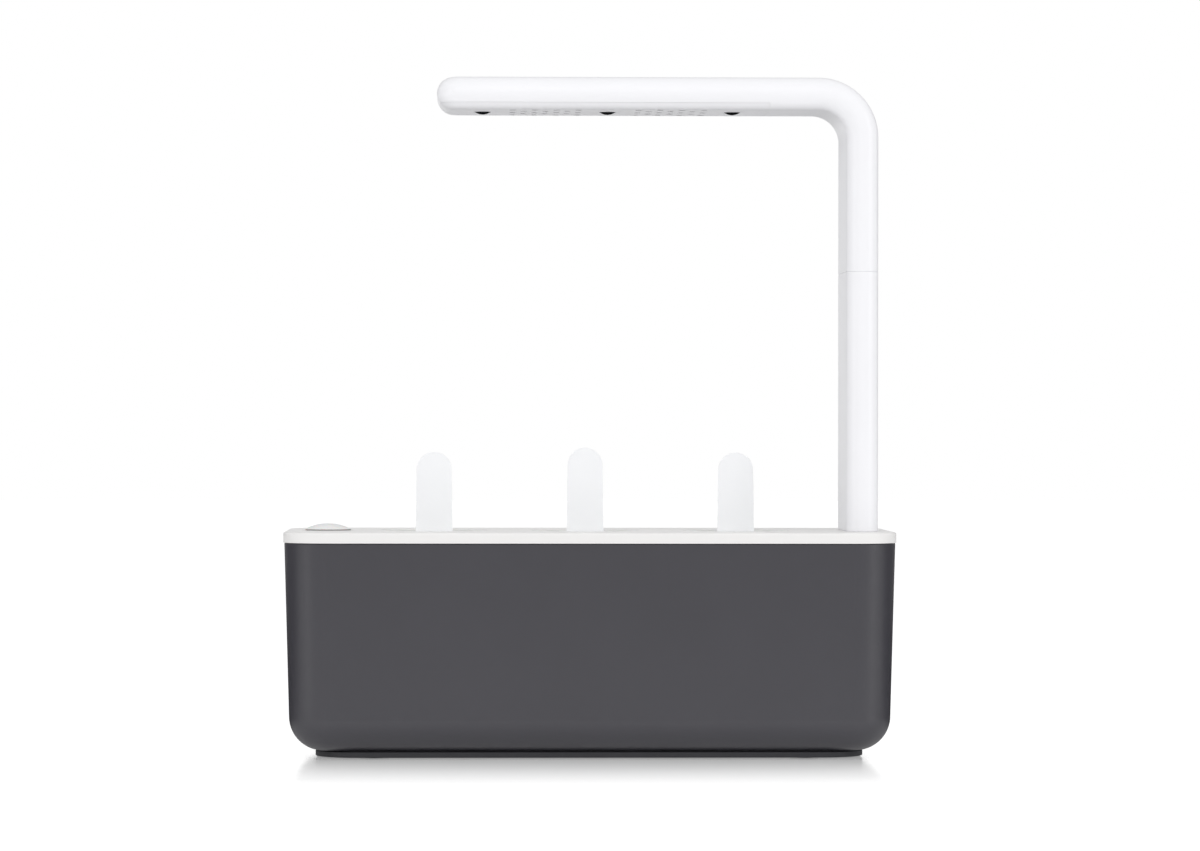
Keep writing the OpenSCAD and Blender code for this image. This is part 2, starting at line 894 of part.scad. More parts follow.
module plant_tag(i, h) {
    top_r = tag_top_w / 2;
    foot_r = tag_foot_w / 2;
    color(WHITE)
        translate([plant_x(i), tag_t / 2, lid_z])
            rotate([90, 0, 0])
                linear_extrude(tag_t) {
                    polygon([
                        [-foot_r, -tag_root],
                        [foot_r, -tag_root],
                        [foot_r, 0],
                        [top_r, h - top_r],
                        [-top_r, h - top_r],
                        [-foot_r, 0]
                    ]);
                    translate([0, h - top_r])
                        circle(top_r);
                }
}

// ---- Post and lamp ----

// Cross-section of the post and the arm, long side along X
module lamp_section(inset) {
    track(flat_w, nose_r - inset);
}

// Half profile of the arm's round edge
module nose_profile(inset) {
    nose_x = arm_end_r - nose_r;
    intersection() {
        union() {
            square([2 * nose_x, 2 * (nose_r - inset)], center = true);
            translate([nose_x, 0])
                circle(nose_r - inset);
        }
        translate([0, -lamp_t])
            square([2 * arm_end_r, 2 * lamp_t]);
    }
}

// The bent lamp: post from z up, quarter bend, arm, and free end with rounded corners
module lamp_form(inset, z) {
    corner_w = lamp_w / 2 - arm_end_r;
    translate([post_x, 0, z])
        linear_extrude(bend_z - z)
            rotate(90)
                lamp_section(inset);
    translate([bend_x, 0, bend_z])
        rotate([90, 0, 0])
            rotate_extrude(angle = 90)
                translate([bend_r, 0])
                    rotate(90)
                        lamp_section(inset);
    translate([arm_corner_x, 0, arm_axis_z])
        rotate([90, 0, 90])
            linear_extrude(bend_x - arm_corner_x)
                lamp_section(inset);
    for (side = [0, 1])
        translate([arm_corner_x, (1 - 2 * side) * corner_w, arm_axis_z])
            rotate([0, 0, 90 + 90 * side])
                rotate_extrude(angle = 90)
                    nose_profile(inset);
    translate([arm_corner_x, -corner_w, arm_axis_z])
        rotate([90, 0, 180])
            linear_extrude(2 * corner_w)
                nose_profile(inset);
}

// Half-space below the parting line that the cover takes from the lamp
module cover_zone(gap) {
    translate([arm_end_x - CUT, -lamp_w, arm_z - CUT])
        cube([cover_l + CUT - gap, 2 * lamp_w, parting_h + CUT - gap]);
}

function clip_places() = [for (k = [0:2]) arm_end_x + cover_l * (1 + 2 * k) / 6];

function board_screw_places() =
    [for (x = [board_x0 + board_screw_in, board_x1 - board_screw_in])
        for (side = [-1, 1])
            [x, side * (board_w / 2 - board_screw_side)]];

module lamp_housing() {
    color(WHITE)
        difference() {
            union() {
                difference() {
                    lamp_form(0, seam_z);
                    lamp_form(lamp_wall, seam_z - CUT);
                }
                // Bosses that carry the light board
                for (p = board_screw_places())
                    translate([p.x, p.y, board_top])
                        cylinder(r = boss_r, h = housing_roof_z - board_top + SEAT);
                // Catches for the cover's clips
                for (x = clip_places())
                    for (side = [-1, 1])
                        translate([x - clip_w / 2, side * catch_y - catch_w / 2, arm_z + catch_lift])
                            cube([clip_w, catch_w, clip_hook_h]);
            }
            cover_zone(0);
            for (p = board_screw_places())
                translate([p.x, p.y, board_top - CUT])
                    cylinder(r = screw_r + screw_hole_gap, h = board_screw_l + 2 * CUT);
        }
}

function led_x(i) = arm_end_x + led_first + i * led_pitch;

// Hexagonal grid of vent holes centred between two light pockets
module vent_holes(x) {
    row = vent_pitch * sqrt(3) / 2;
    depth = lamp_wall + CUT;
    for (r = [-2:2]) {
        last = r % 2 == 0 ? 3 : 2;
        for (k = [0:last])
            translate([x + (k - last / 2) * vent_pitch, r * row, arm_z]) {
                translate([0, 0, -CUT])
                    cylinder(d = vent_d, h = CUT);
                cylinder(d1 = vent_d, d2 = vent_d + 2 * depth * tan(vent_flare), h = depth);
            }
    }
}

module lamp_cover() {
    color(WHITE)
        difference() {
            union() {
                difference() {
                    intersection() {
                        lamp_form(0, seam_z);
                        cover_zone(SEAT);
                    }
                    lamp_form(lamp_wall, seam_z - CUT);
                }
                for (i = [0:2])
                    translate([led_x(i), 0, arm_z + CUT])
                        cylinder(r = pocket_d / 2 + pocket_wall, h = pocket_boss_h - CUT);
                // Clips along both sides
                for (x = clip_places())
                    for (side = [-1, 1]) {
                        translate([x - clip_w / 2, side * clip_y - clip_t / 2, arm_z + clip_foot])
                            cube([clip_w, clip_t, clip_h - clip_foot]);
                        translate([
                            x - clip_w / 2,
                            side * (clip_y + clip_hook) - clip_t / 2,
                            arm_z + clip_h - clip_hook_h
                        ])
                            cube([clip_w, clip_t, clip_hook_h]);
                    }
            }
            for (i = [0:2])
                translate([led_x(i), 0, arm_z]) {
                    cylinder(d1 = pocket_d, d2 = throat_d, h = pocket_depth);
                    translate([0, 0, -CUT])
                        cylinder(d = pocket_d, h = CUT);
                    cylinder(d = throat_d, h = pocket_boss_h + CUT);
                }
            for (i = [0:1])
                vent_holes((led_x(i) + led_x(i + 1)) / 2);
        }
}

module led_board() {
    color(WHITE)
        difference() {
            translate([board_x0, -board_w / 2, board_z])
                cube([board_x1 - board_x0, board_w, board_t]);
            for (p = board_screw_places())
                translate([p.x, p.y, board_z - CUT])
                    cylinder(r = screw_r + SEAT, h = board_t + 2 * CUT);
        }
}

module led_emitters() {
    color([0.95, 0.85, 0.4])
        for (i = [0:2])
            translate([led_x(i), 0, board_z - emitter_t])
                cylinder(r = emitter_r, h = emitter_t);
}

// Lenses that sit in the pockets' throats: a dome below, a flange on the pocket's inner end
module led_lenses() {
    color([0.85, 0.9, 0.95])
        for (i = [0:2])
            translate([led_x(i), 0, arm_z]) {
                translate([0, 0, pocket_boss_h])
                    cylinder(r = throat_d / 2 + lens_flange, h = lens_flange_t);
                intersection() {
                    translate([0, 0, lens_ball_r - lens_drop])
                        sphere(r = lens_ball_r);
                    translate([0, 0, -lens_drop - CUT])
                        cylinder(r = lens_r, h = lens_drop + CUT + pocket_boss_h + SEAT);
                }
            }
}

module board_screws() {
    color(STEEL)
        for (p = board_screw_places())
            translate([p.x, p.y, board_z]) {
                translate([0, 0, -screw_head_h])
                    cylinder(r = screw_head_r, h = screw_head_h);
                translate([0, 0, -SEAT])
                    cylinder(r = screw_r, h = board_t + board_screw_l);
            }
}

// Plug at the foot of the post or the lamp: a body inside the tube and a tongue below it
module plug_piece(z) {
    color(WHITE)
        difference() {
            translate([post_x, 0, z]) {
                linear_extrude(plug_body_h)
                    rotate(90)
                        track(flat_w, nose_r - lamp_wall - SEAT);
                translate([0, 0, -plug_h])
                    linear_extrude(plug_h + SEAT)
                        rotate(90)
                            track(plug_flat, plug_t / 2);
            }
            contact_strips(z - plug_h + contact_foot, plug_h + plug_body_h, 1, SEAT);
            // Channel for the two wires
            for (side = [-1, 1])
                translate([post_x, side * wire_y, z])
                    cylinder(r = wire_hole_r, h = plug_body_h + CUT);
        }
}

module plug_contacts(z) {
    color(BRASS)
        contact_strips(z - plug_h + contact_foot, plug_h + plug_body_h - contact_foot, 1, 0);
}

module extension_tube() {
    color(WHITE)
        translate([post_x, 0, lid_z])
            linear_extrude(ext_h)
                rotate(90)
                    difference() {
                        lamp_section(0);
                        lamp_section(lamp_wall);
                    }
}

module extension_plug() {
    plug_piece(lid_z);
}

module extension_contacts() {
    plug_contacts(lid_z);
}

module extension_socket() {
    depth = cavity_h + socket_floor;
    color(WHITE)
        difference() {
            translate([post_x, 0, seam_z - depth])
                linear_extrude(depth - SEAT)
                    rotate(90)
                        track(flat_w, nose_r - lamp_wall - SEAT);
            translate([post_x, 0, seam_z - cavity_h])
                linear_extrude(cavity_h + CUT)
                    rotate(90)
                        track(plug_flat, plug_t / 2 + plug_gap);
            contact_strips(seam_z - depth - CUT, depth + CUT, -1, SEAT);
        }
}

module extension_socket_contacts() {
    color(BRASS)
        contact_strips(seam_z - cavity_h - socket_floor, cavity_h - socket_contact_end, -1, 0);
}

module extension_wires() {
    low_z = lid_z + wire_lift;
    color(BLACK)
        for (side = [-1, 1])
            translate([post_x, side * wire_y, low_z])
                cylinder(r = wire_r, h = seam_z - cavity_h - socket_floor - low_z);
}

// Pair of wires from the plug up the post, round the bend and along to lie on the light board
module lamp_wires() {
    low_z = seam_z + wire_lift;
    wire_z = board_top + wire_r;
    wire_bend_r = wire_z - bend_z;
    color(BLACK)
        for (side = [-1, 1]) {
            translate([bend_x + wire_bend_r, side * wire_y, low_z])
                cylinder(r = wire_r, h = bend_z - low_z);
            translate([bend_x, side * wire_y, bend_z])
                rotate([90, 0, 0])
                    rotate_extrude(angle = 90)
                        translate([wire_bend_r, 0])
                            circle(wire_r);
            translate([board_x1 - wire_lap, side * wire_y, wire_z])
                rotate([0, 90, 0])
                    cylinder(r = wire_r, h = bend_x - board_x1 + wire_lap);
        }
}

tank_shell();
base_plinth();
foot_pads();
lid_cover();
float_guide();
lamp_socket();
socket_contacts();
timer_board();
dc_inlet();
socket_base();
socket_screws();
float_cap();
float_body();
plant_cup(-1);  // plant_cup_left
wick(-1);  // wick_left
plant_cup(0);  // plant_cup_middle
wick(0);  // wick_middle
plant_cup(1);  // plant_cup_right
wick(1);  // wick_right
pod_shell(-1);  // pod_shell_left
growing_medium(-1);  // growing_medium_left
pod_cover(-1);  // pod_cover_left
plant_tag(-1, tag_left_h);  // plant_tag_left
pod_shell(0);  // pod_shell_middle
growing_medium(0);  // growing_medium_middle
pod_cover(0);  // pod_cover_middle
plant_tag(0, tag_middle_h);  // plant_tag_middle
pod_shell(1);  // pod_shell_right
growing_medium(1);  // growing_medium_right
pod_cover(1);  // pod_cover_right
plant_tag(1, tag_right_h);  // plant_tag_right
extension_tube();
extension_plug();
extension_contacts();
extension_socket();
extension_socket_contacts();
extension_wires();
lamp_housing();
lamp_cover();
led_board();
led_emitters();
led_lenses();
board_screws();
plug_piece(seam_z);  // lamp_plug
plug_contacts(seam_z);  // lamp_contacts
lamp_wires();
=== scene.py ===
"""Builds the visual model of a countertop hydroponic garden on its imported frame."""
from functools import partial
from math import acos, asin, ceil, copysign, cos, pi, radians, sin, sqrt, tan

import bmesh
import bpy
import numpy as np
from bpy.props import FloatProperty, FloatVectorProperty, PointerProperty
from mathutils import Matrix, Vector


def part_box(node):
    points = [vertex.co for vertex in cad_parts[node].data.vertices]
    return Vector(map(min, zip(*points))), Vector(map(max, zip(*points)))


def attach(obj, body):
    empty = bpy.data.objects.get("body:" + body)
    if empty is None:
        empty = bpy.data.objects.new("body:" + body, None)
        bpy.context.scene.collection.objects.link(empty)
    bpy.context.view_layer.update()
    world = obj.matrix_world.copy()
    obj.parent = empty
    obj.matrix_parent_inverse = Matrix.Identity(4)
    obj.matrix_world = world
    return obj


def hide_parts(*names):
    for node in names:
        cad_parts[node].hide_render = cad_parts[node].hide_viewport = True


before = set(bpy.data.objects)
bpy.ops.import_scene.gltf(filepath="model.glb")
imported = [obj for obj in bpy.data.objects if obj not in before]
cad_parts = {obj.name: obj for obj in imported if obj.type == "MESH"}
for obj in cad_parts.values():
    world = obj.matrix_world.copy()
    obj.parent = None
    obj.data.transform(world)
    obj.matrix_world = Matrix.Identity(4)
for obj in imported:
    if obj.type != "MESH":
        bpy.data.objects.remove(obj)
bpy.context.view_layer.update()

bl_info = {
    "name": "Countertop hydroponic garden",
    "version": (1, 0, 0),
    "blender": (4, 5, 0),
    "location": "3D View > Sidebar > Garden",
    "description": "Builds a water tank with plant cups, tags, a float and a bent grow lamp",
    "category": "Object",
}

PLANTS = ("left", "middle", "right")
MM = 0.001
# Radii along moulded edges
FINE, CRISP, EDGE, SOFT = 0.1 * MM, 0.15 * MM, 0.2 * MM, 0.3 * MM
# Distance by which a cutter passes what it cuts
OVER = 3 * MM
# Distance from its corners' axes at which a tub's flat caps begin
CAP = 1 * MM


# ---- Settings ----

def length(name, value, text, low=0.0, high=1000.0):
    """A length setting, given here in millimetres and stored in metres."""
    return FloatProperty(
        name=name, description=text, default=value * MM, min=low * MM, max=high * MM,
        precision=5, subtype="DISTANCE", unit="LENGTH",
    )


def angle(name, value, text):
    """An angle setting in radians."""
    return FloatProperty(
        name=name, description=text, default=value, min=-1, max=1, subtype="ANGLE", unit="ROTATION",
    )


def amount(name, value, text):
    """A setting without a unit."""
    return FloatProperty(name=name, description=text, default=value, min=0, max=3)


def linear(code):
    """Linear colour of a six-digit sRGB hex code."""
    shares = [int(code[k:k + 2], 16) / 255 for k in (0, 2, 4)]
    return tuple(c / 12.92 if c <= 0.04045 else ((c + 0.055) / 1.055) ** 2.4 for c in shares)


def colour(name, code, text):
    """A colour setting, given here as a hex code and stored as linear values."""
    return FloatVectorProperty(
        name=name, description=text, default=linear(code), min=0, max=1, size=3, subtype="COLOR",
    )


def settings(make, **rows):
    """Settings that make gives, each named after its key, from the rest of make's arguments."""
    return {key: make(key.replace("_", " ").capitalize(), *row) for key, row in rows.items()}


class TankSizes(bpy.types.PropertyGroup):
    """Sizes of the tank and its plinth"""
    __annotations__ = settings(
        length,
        wall=(2.4, "Thickness of wall and floor"),
        corner=(22.5, "Radius of the upright corners at the rim"),
        fillet=(16.7, "Radius of the rounded bottom edge"),
        rim_chamfer=(0.5, "Bevel outside the rim"),
        notch_width=(14, "Width of the power inlet's notch"),
        notch_depth=(15.4, "Depth of that notch"),
        plinth_corner=(21, "Radius of the plinth's upright corners"),
        plinth_neck=(3.5, "Inset of the plinth's neck"),
        shadow_gap=(0.4, "Height of that neck"),
        pad_width=(14, "Diameter of a rubber pad"),
    ) | settings(
        angle,
        draft=(radians(1.6), "Lean of the walls, inwards to the bottom"),
    )


class LidSizes(bpy.types.PropertyGroup):
    """Sizes of the lid and the power inlet"""
    __annotations__ = settings(
        length,
        corner=(23, "Radius of the corners"),
        edge=(5.2, "Height of the visible edge"),
        wall=(2.4, "Thickness of the top"),
        fillet=(1, "Radius along the top edge"),
        lip=(0.4, "Radius along the openings' edges"),
        rib_gap=(3.48, "Inset of the locating rib"),
        float_gap=(0.9, "Gap round the float's cap"),
        slot_width=(9, "Width of the slot for the post"),
        slot_length=(41, "Length of that slot"),
        inlet_drop=(14, "Depth of the power inlet's axis"),
        inlet_bore=(5.8, "Diameter of the inlet's bore"),
    )


class PlantSizes(bpy.types.PropertyGroup):
    """Sizes of the cups, pods and tags"""
    __annotations__ = settings(
        length,
        cup_wall=(1.6, "Thickness of a cup's wall"),
        cup_width=(46, "Diameter of a cup under its flange"),
        cup_floor=(39.2, "Diameter of a cup's floor"),
        flange=(1.4, "Thickness of a cup's flange"),
        flange_gap=(0.4, "Gap round the flange"),
        slot_height=(14, "Height of a cup's air slots"),
        slot_width=(3, "Width of a cup's air slots"),
        pod_wall=(1.1, "Thickness of a pod's wall"),
        crumb=(0.7, "Depth of the crumbs on the medium"),
        sprout=(7.2, "Diameter of a sprout hole"),
        sprout_place=(10, "Distance of a sprout hole from the tag"),
        tag_foot=(18.4, "Width of a tag at the lid"),
        tag_top=(17.4, "Width of a tag below its round top"),
        tag_border=(0.75, "Width of a tag's raised border"),
    )


class FloatSizes(bpy.types.PropertyGroup):
    """Sizes of the float's cap"""
    __annotations__ = settings(
        length,
        dome=(2.8, "Height of the dome above its edge"),
        neck=(19.2, "Diameter of the cap where it meets the body"),
        step=(1.6, "Height of the cone under the cap's edge"),
        bore=(14.2, "Diameter of the hollow in the cap's skirt"),
    )


class LampSizes(bpy.types.PropertyGroup):
    """Sizes of the post and the lamp"""
    __annotations__ = settings(
        length,
        wall=(2, "Thickness of the wall"),
        thickness=(16, "Thickness of the post and the arm"),
        bend=(13.6, "Inner radius of the bend"),
        end=(12, "Radius of the free end's corners"),
        edge=(0.35, "Radius along the edges at the seam"),
        parting=(3.2, "Height of the cover's parting line"),
        cover=(162.2, "Length of the underside cover"),
        pocket_first=(20.9, "Distance of the first pocket from the tip"),
        pocket_pitch=(62.05, "Distance between light pockets"),
        pocket_mouth=(12.4, "Diameter of a pocket's mouth"),
        pocket_throat=(8.4, "Diameter of a pocket's throat"),
        vent=(3.2, "Diameter of a vent hole"),
        vent_pitch=(10.8, "Distance between vent holes"),
    ) | settings(
        angle,
        vent_flare=(0.733, "Angle by which a vent hole widens inwards"),
    )


MILKY, METAL = {"Subsurface Weight": 0.1, "Subsurface Scale": 0.002}, {"Metallic": 1.0}
SHEET = {"Transmission Weight": 0.12, "IOR": 1.45}
# For each finish: colour, roughness, the grain's width and height in millimetres and its fineness,
# drift of the lightness, wander of the roughness, specular level, and further constants. The grain
# of moulded plastics is really 0.1 to 0.3 mm wide; it is drawn coarser, or it would be lost.
FINISHES = {
    # Moulded ABS: of the tank, spark-eroded with a broad soft sheen; of the lid, satin and slightly
    # warm; of the post and the lamp, smooth and cool
    "charcoal_ABS": ("38373D", 0.38, 0.6, 0.015, 3, 0.03, 0.04, 0.5),
    "white_ABS": ("E9E8E7", 0.35, 0.8, 0.012, 3, 0.006, 0.04, 0.45),
    "gloss_white_ABS": ("EFEFF2", 0.3, 1.2, 0.002, 3, 0.005, 0.02, 0.5),
    # Moulded polypropylene of the plinth, the float, the cups and the pods: a little waxy, with
    # some light coming through thin walls
    "black_PP": ("323236", 0.5, 0.7, 0.02, 3, 0.04, 0.05, 0.4),
    "float_PP": ("E8E8E8", 0.38, 0.8, 0.01, 3, 0.01, 0.04, 0.5, MILKY),
    "cup_PP": ("EDEDEB", 0.45, 0.8, 0.012, 3, 0.01, 0.05, 0.5, MILKY),
    "pod_PP": ("E6E6E4", 0.5, 0.7, 0.012, 3, 0.01, 0.05, 0.4),
    # Moulded rubber: dark and without shine
    "rubber": ("1B1B1C", 0.85, 0.9, 0.05, 3, 0.06, 0.05, 0.3),
    # Coated card: flat white, slight fibre relief
    "coated_card": ("EBEBE8", 0.62, 1.5, 0.015, 3, 0.015, 0.05, 0.35),
    # Frosted plastic sheet: milky, lets light through
    "frosted_sheet": ("FAFBFD", 0.5, 1.0, 0.008, 3, 0.008, 0.05, 0.5, SHEET),
    # Damp peat foam: open crumbs, nearly no shine
    "peat_foam": ("3A2A20", 0.9, 1.6, 0.5, 8, 0.25, 0.05, 0.2),
    # Needle felt: short fibres with a soft edge
    "needle_felt": ("1E1D1D", 0.95, 0.8, 0.15, 6, 0.15, 0.03, 0.2, {"Sheen Weight": 0.3}),
    # Rolled brass, and steel with a thin zinc coat: metals with a soft shine
    "brass": ("D2A860", 0.28, 1.5, 0.01, 3, 0.04, 0.05, 0.5, METAL),
    "zinc_steel": ("B4B6B8", 0.36, 0.8, 0.01, 3, 0.05, 0.05, 0.5, METAL),
    # Solder masks: smooth lacquer over copper
    "green_solder_mask": ("14502F", 0.3, 2.0, 0.02, 3, 0.08, 0.05, 0.5),
    "white_solder_mask": ("E9EAE8", 0.35, 2.0, 0.015, 3, 0.02, 0.05, 0.5),
    # Phosphor gel: smooth and rounded, yellow when unlit
    "phosphor_gel": ("E8C95A", 0.22, 1.0, 0.01, 3, 0.05, 0.05, 0.5),
    # Smoked acrylic: a dark polished disc
    "smoked_acrylic": ("17181A", 0.12, 2.0, 0.002, 3, 0.02, 0.02, 0.5),
    # Extruded PVC: smooth, with a soft shine
    "wire_PVC": ("1A1A1B", 0.4, 1.0, 0.01, 3, 0.04, 0.05, 0.5),
}


class Finishes(bpy.types.PropertyGroup):
    """Colours of the materials"""
    __annotations__ = {
        name: colour(name.replace("_", " "), row[0], "Colour of this material")
        for name, row in FINISHES.items()
    }


class StageSettings(bpy.types.PropertyGroup):
    """Camera and light"""
    __annotations__ = settings(
        length,
        distance=(2400, "Distance of the camera", 500, 9000),
        height=(162.7, "Height of the camera above the table"),
        side=(5.8, "Distance of its axis to the right", -500, 500),
        mirror_reach=(190, "Reach of the mirror image"),
    ) | settings(
        angle,
        turn=(0.0278, "Angle of the camera to the left of the front"),
        roll=(0.0011, "Tilt of the camera about its own axis"),
    ) | settings(
        amount,
        horizon=(0.77, "Brightness of the room at eye level"),
        zenith=(0.93, "Brightness of the room overhead"),
        front=(0.27, "Light that the room has more in front"),
        floor_tone=(0.93, "Share of light that the floor throws back"),
        floor_mirror=(0.75, "Share of the floor's coat at the object"),
        floor_polish=(0.12, "Roughness of that coat"),
        lift=(0.25, "Light that the floor adds for the camera"),
        front_lift=(0.65, "Light that the floor in front adds to reflections"),
    )
    lens: FloatProperty(
        name="Lens", description="Focal length of the camera", default=144.74, min=20, max=400,
        subtype="DISTANCE_CAMERA", unit="CAMERA",
    )


SETTINGS = {
    "garden_tank": TankSizes, "garden_lid": LidSizes, "garden_plants": PlantSizes,
    "garden_float": FloatSizes, "garden_lamp": LampSizes, "garden_finishes": Finishes,
    "garden_stage": StageSettings,
}


# ---- Surfaces ----

def span(name):
    """Lowest and highest corner of a CAD node at rest, in metres, the middle of its width in x
    and half that width."""
    low, high = (np.array(corner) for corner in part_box(name))
    return low, high, (low[0] + high[0]) / 2, (high[0] - low[0]) / 2


def weld(mesh):
    """Merges doubles, drops collapsed faces and turns the rest outwards. Open meshes are errors."""
    work = bmesh.new()
    work.from_mesh(mesh)
    bmesh.ops.remove_doubles(work, verts=work.verts, dist=1e-6)
    bmesh.ops.dissolve_degenerate(work, edges=work.edges, dist=1e-7)
    bmesh.ops.recalc_face_normals(work, faces=work.faces)
    open_edges = sum(len(edge.link_faces) != 2 for edge in work.edges)
    work.to_mesh(mesh)
    work.free()
    if open_edges or not mesh.polygons:
        raise RuntimeError(f"{mesh.name}: the surface isn't closed ({open_edges} open edges)")


def placed(name, data):
    """An object with this data in the scene."""
    made = bpy.data.objects.new(name, data)
    bpy.context.scene.collection.objects.link(made)
    return made


def solid(name, grids, caps=(), rings=None):
    """Closed mesh object from grids of points, with quads between neighbours, and from flat caps
    given as rings. The last column joins the first in as many grids as rings says, or in all."""
    faces, first = [], 0
    for k, grid in enumerate(grids):
        rows, columns = grid.shape[:2]
        wide = columns if rings is None or k < rings else columns - 1
        row, column = np.meshgrid(np.arange(rows - 1), np.arange(wide), indexing="ij")
        here = first + row * columns + column
        right = first + row * columns + (column + 1) % columns
        quads = np.stack([here, right, right + columns, here + columns], axis=-1)
        faces += quads.reshape(-1, 4).tolist()
        first += rows * columns
    for ring in caps:
        faces.append(list(range(first, first + len(ring))))
        first += len(ring)
    points = np.concatenate([part.reshape(-1, 3) for part in (*grids, *caps)])
    mesh = bpy.data.meshes.new(name)
    mesh.from_pydata(points.tolist(), [], faces)
    weld(mesh)
    return placed(name, mesh)


def filleted(corners, turn=15):
    """Polyline through corners (x, y, radius), each inner corner replaced by its tangent arc.

    u and v are the unit vectors from a corner to its neighbours and f is half the angle between
    them. The arc of radius r has its centre r / sin(f) from the corner along u + v. It runs from
    the foot of that centre on one side to the foot on the other, in steps of up to turn degrees.
    """
    corners = np.array(corners, float)
    parts = []
    for k, (x, y, r) in enumerate(corners):
        place = np.array([x, y])
        if r == 0 or k in (0, len(corners) - 1):
            parts.append(place[None])
            continue
        u, v = corners[k - 1, :2] - place, corners[k + 1, :2] - place
        u, v = u / np.hypot(*u), v / np.hypot(*v)
        half = acos(np.clip(u @ v, -1, 1)) / 2
        centre = place + (u + v) / np.hypot(*(u + v)) * r / sin(half)
        start = place + u * r / tan(half) - centre
        sweep = pi - 2 * half
        side = copysign(1, v[0] * u[1] - v[1] * u[0])
        steps = max(2, ceil(sweep / radians(turn)))
        a = np.linspace(0, sweep * side, steps + 1)[:, None]
        across = np.array([-start[1], start[0]])
        parts.append(centre + start * np.cos(a) + across * np.sin(a))
    return np.concatenate(parts)


def around(x, y, r, a, z):
    """Points at height z and at distance r from (x, y) in the direction a."""
    return np.stack([x + r * np.cos(a), y + r * np.sin(a), z + 0 * a], axis=-1)


def carried_round(profile, half_x, half_y, steps):
    """A profile (r, z) carried once round a rounded rectangle.

    x = sx * half_x + r * cos(a) and y = sy * half_y + r * sin(a), while a runs through one quarter
    turn at each of the four corner axes (sx, sy).
    """
    quarter = np.linspace(0, pi / 2, steps + 1)
    a = np.concatenate([quarter + k * pi / 2 for k in range(4)])
    sx = np.repeat([1, -1, -1, 1], steps + 1)
    sy = np.repeat([1, 1, -1, -1], steps + 1)
    return around(sx * half_x, sy * half_y, profile[:, :1], a, profile[:, 1:])


def tub(name, profile, half_x, half_y, steps=18):
    """A profile carried round a rounded rectangle, with flat caps in the middle."""
    grid = carried_round(profile, half_x, half_y, steps)
    return solid(name, [grid], [grid[0], grid[-1]])


def turned(profile, x=0.0, y=0.0, steps=16):
    """A profile (r, z) turned about the upright axis through (x, y)."""
    return carried_round(np.asarray(profile, float), 0, 0, steps) + [x, y, 0]


def rod(r, low, high):
    """Profile of an upright rod."""
    return [(0, low), (r, low), (r, high), (0, high)]


def prism(outline, low, high):
    """An outline (x, y) raised from z low to z high, closed by fans from its middle."""
    middle = np.broadcast_to(outline.mean(axis=0), outline.shape)
    rows = [(middle, low), (outline, low), (outline, high), (middle, high)]
    return np.stack([np.column_stack([flat, np.full(len(flat), z)]) for flat, z in rows])


def block(x0, x1, y0, y1, low, high):
    """An upright block."""
    return prism(np.array([[x0, y0], [x1, y0], [x1, y1], [x0, y1]]), low, high)


def track(half, r, steps):
    """Closed outline (x, y) of a slot along Y: x = r cos(p), y = r sin(p) + half on the far nose
    and - half on the near one."""
    p = np.linspace(0, pi, steps + 1)
    p = np.concatenate([p, pi + p])
    shift = np.repeat([half, -half], steps + 1)
    return np.column_stack([r * np.cos(p), r * np.sin(p) + shift])


def end_rows(wall, edge, z, up):
    """(inset, z) over a tube wall's end at z, from the inside to the outside, both edges
    rounded. The tube runs on upwards (up 1) or downwards (up -1)."""
    b = np.linspace(0, pi / 2, 5)
    inner = [(wall - edge + edge * cos(t), z + up * edge * (1 - sin(t))) for t in b]
    outer = [(edge - edge * sin(t), z + up * edge * (1 - cos(t))) for t in b]
    return inner + outer


def carve(piece, grids, operation="DIFFERENCE"):
    """Cuts the solids given by grids from the piece, or keeps what they share, or adds them."""
    cutter = solid("cutter", grids)
    before = len(piece.data.polygons)
    tool = piece.modifiers.new("Carve", "BOOLEAN")
    tool.operation, tool.solver, tool.object = operation, "EXACT", cutter
    graph = bpy.context.evaluated_depsgraph_get()
    result = bpy.data.meshes.new_from_object(piece.evaluated_get(graph))
    piece.modifiers.remove(tool)
    old, piece.data = piece.data, result
    result.name = piece.name
    bpy.data.meshes.remove(old)
    bpy.data.meshes.remove(cutter.data)
    weld(result)
    if len(result.polygons) == before:
        raise RuntimeError(f"{piece.name}: the cut left the piece as it was")


def dress(mesh, material):
    """Gives the mesh its only material."""
    mesh.materials.clear()
    mesh.materials.append(finish(material))


def settle(piece, material, body, *nodes, sharp=32):
    """Smooths the piece up to edges of sharp degrees, gives it its material, ties it to its
    body and hides the CAD nodes that it stands for."""
    mesh = piece.data
    mesh.shade_smooth()
    mesh.set_sharp_from_angle(angle=radians(sharp))
    dress(mesh, material)
    weighted = piece.modifiers.new("Face-weighted normals", "WEIGHTED_NORMAL")
    weighted.keep_sharp = True
    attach(piece, body)
    if nodes:
        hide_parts(*nodes)


# ---- Materials ----

# Millimetres over which the lightness drifts and the roughness wanders
DRIFT_WIDTH, WANDER_WIDTH = 40, 6


def shader(tree, kind, inputs=(), **settings):
    """Adds one shader node, sets its settings, fills or links its inputs, given by name or in
    order, and returns its outputs."""
    made = tree.nodes.new("ShaderNode" + kind)
    for key, value in settings.items():
        setattr(made, key, value)
    for key, value in inputs.items() if isinstance(inputs, dict) else enumerate(inputs):
        if isinstance(value, bpy.types.NodeSocket):
            tree.links.new(value, made.inputs[key])
        else:
            made.inputs[key].default_value = value
    return made.outputs


def emptied(made):
    """The shader function for the emptied tree of a new material or world."""
    made.use_nodes = True
    made.node_tree.nodes.clear()
    return partial(shader, made.node_tree)


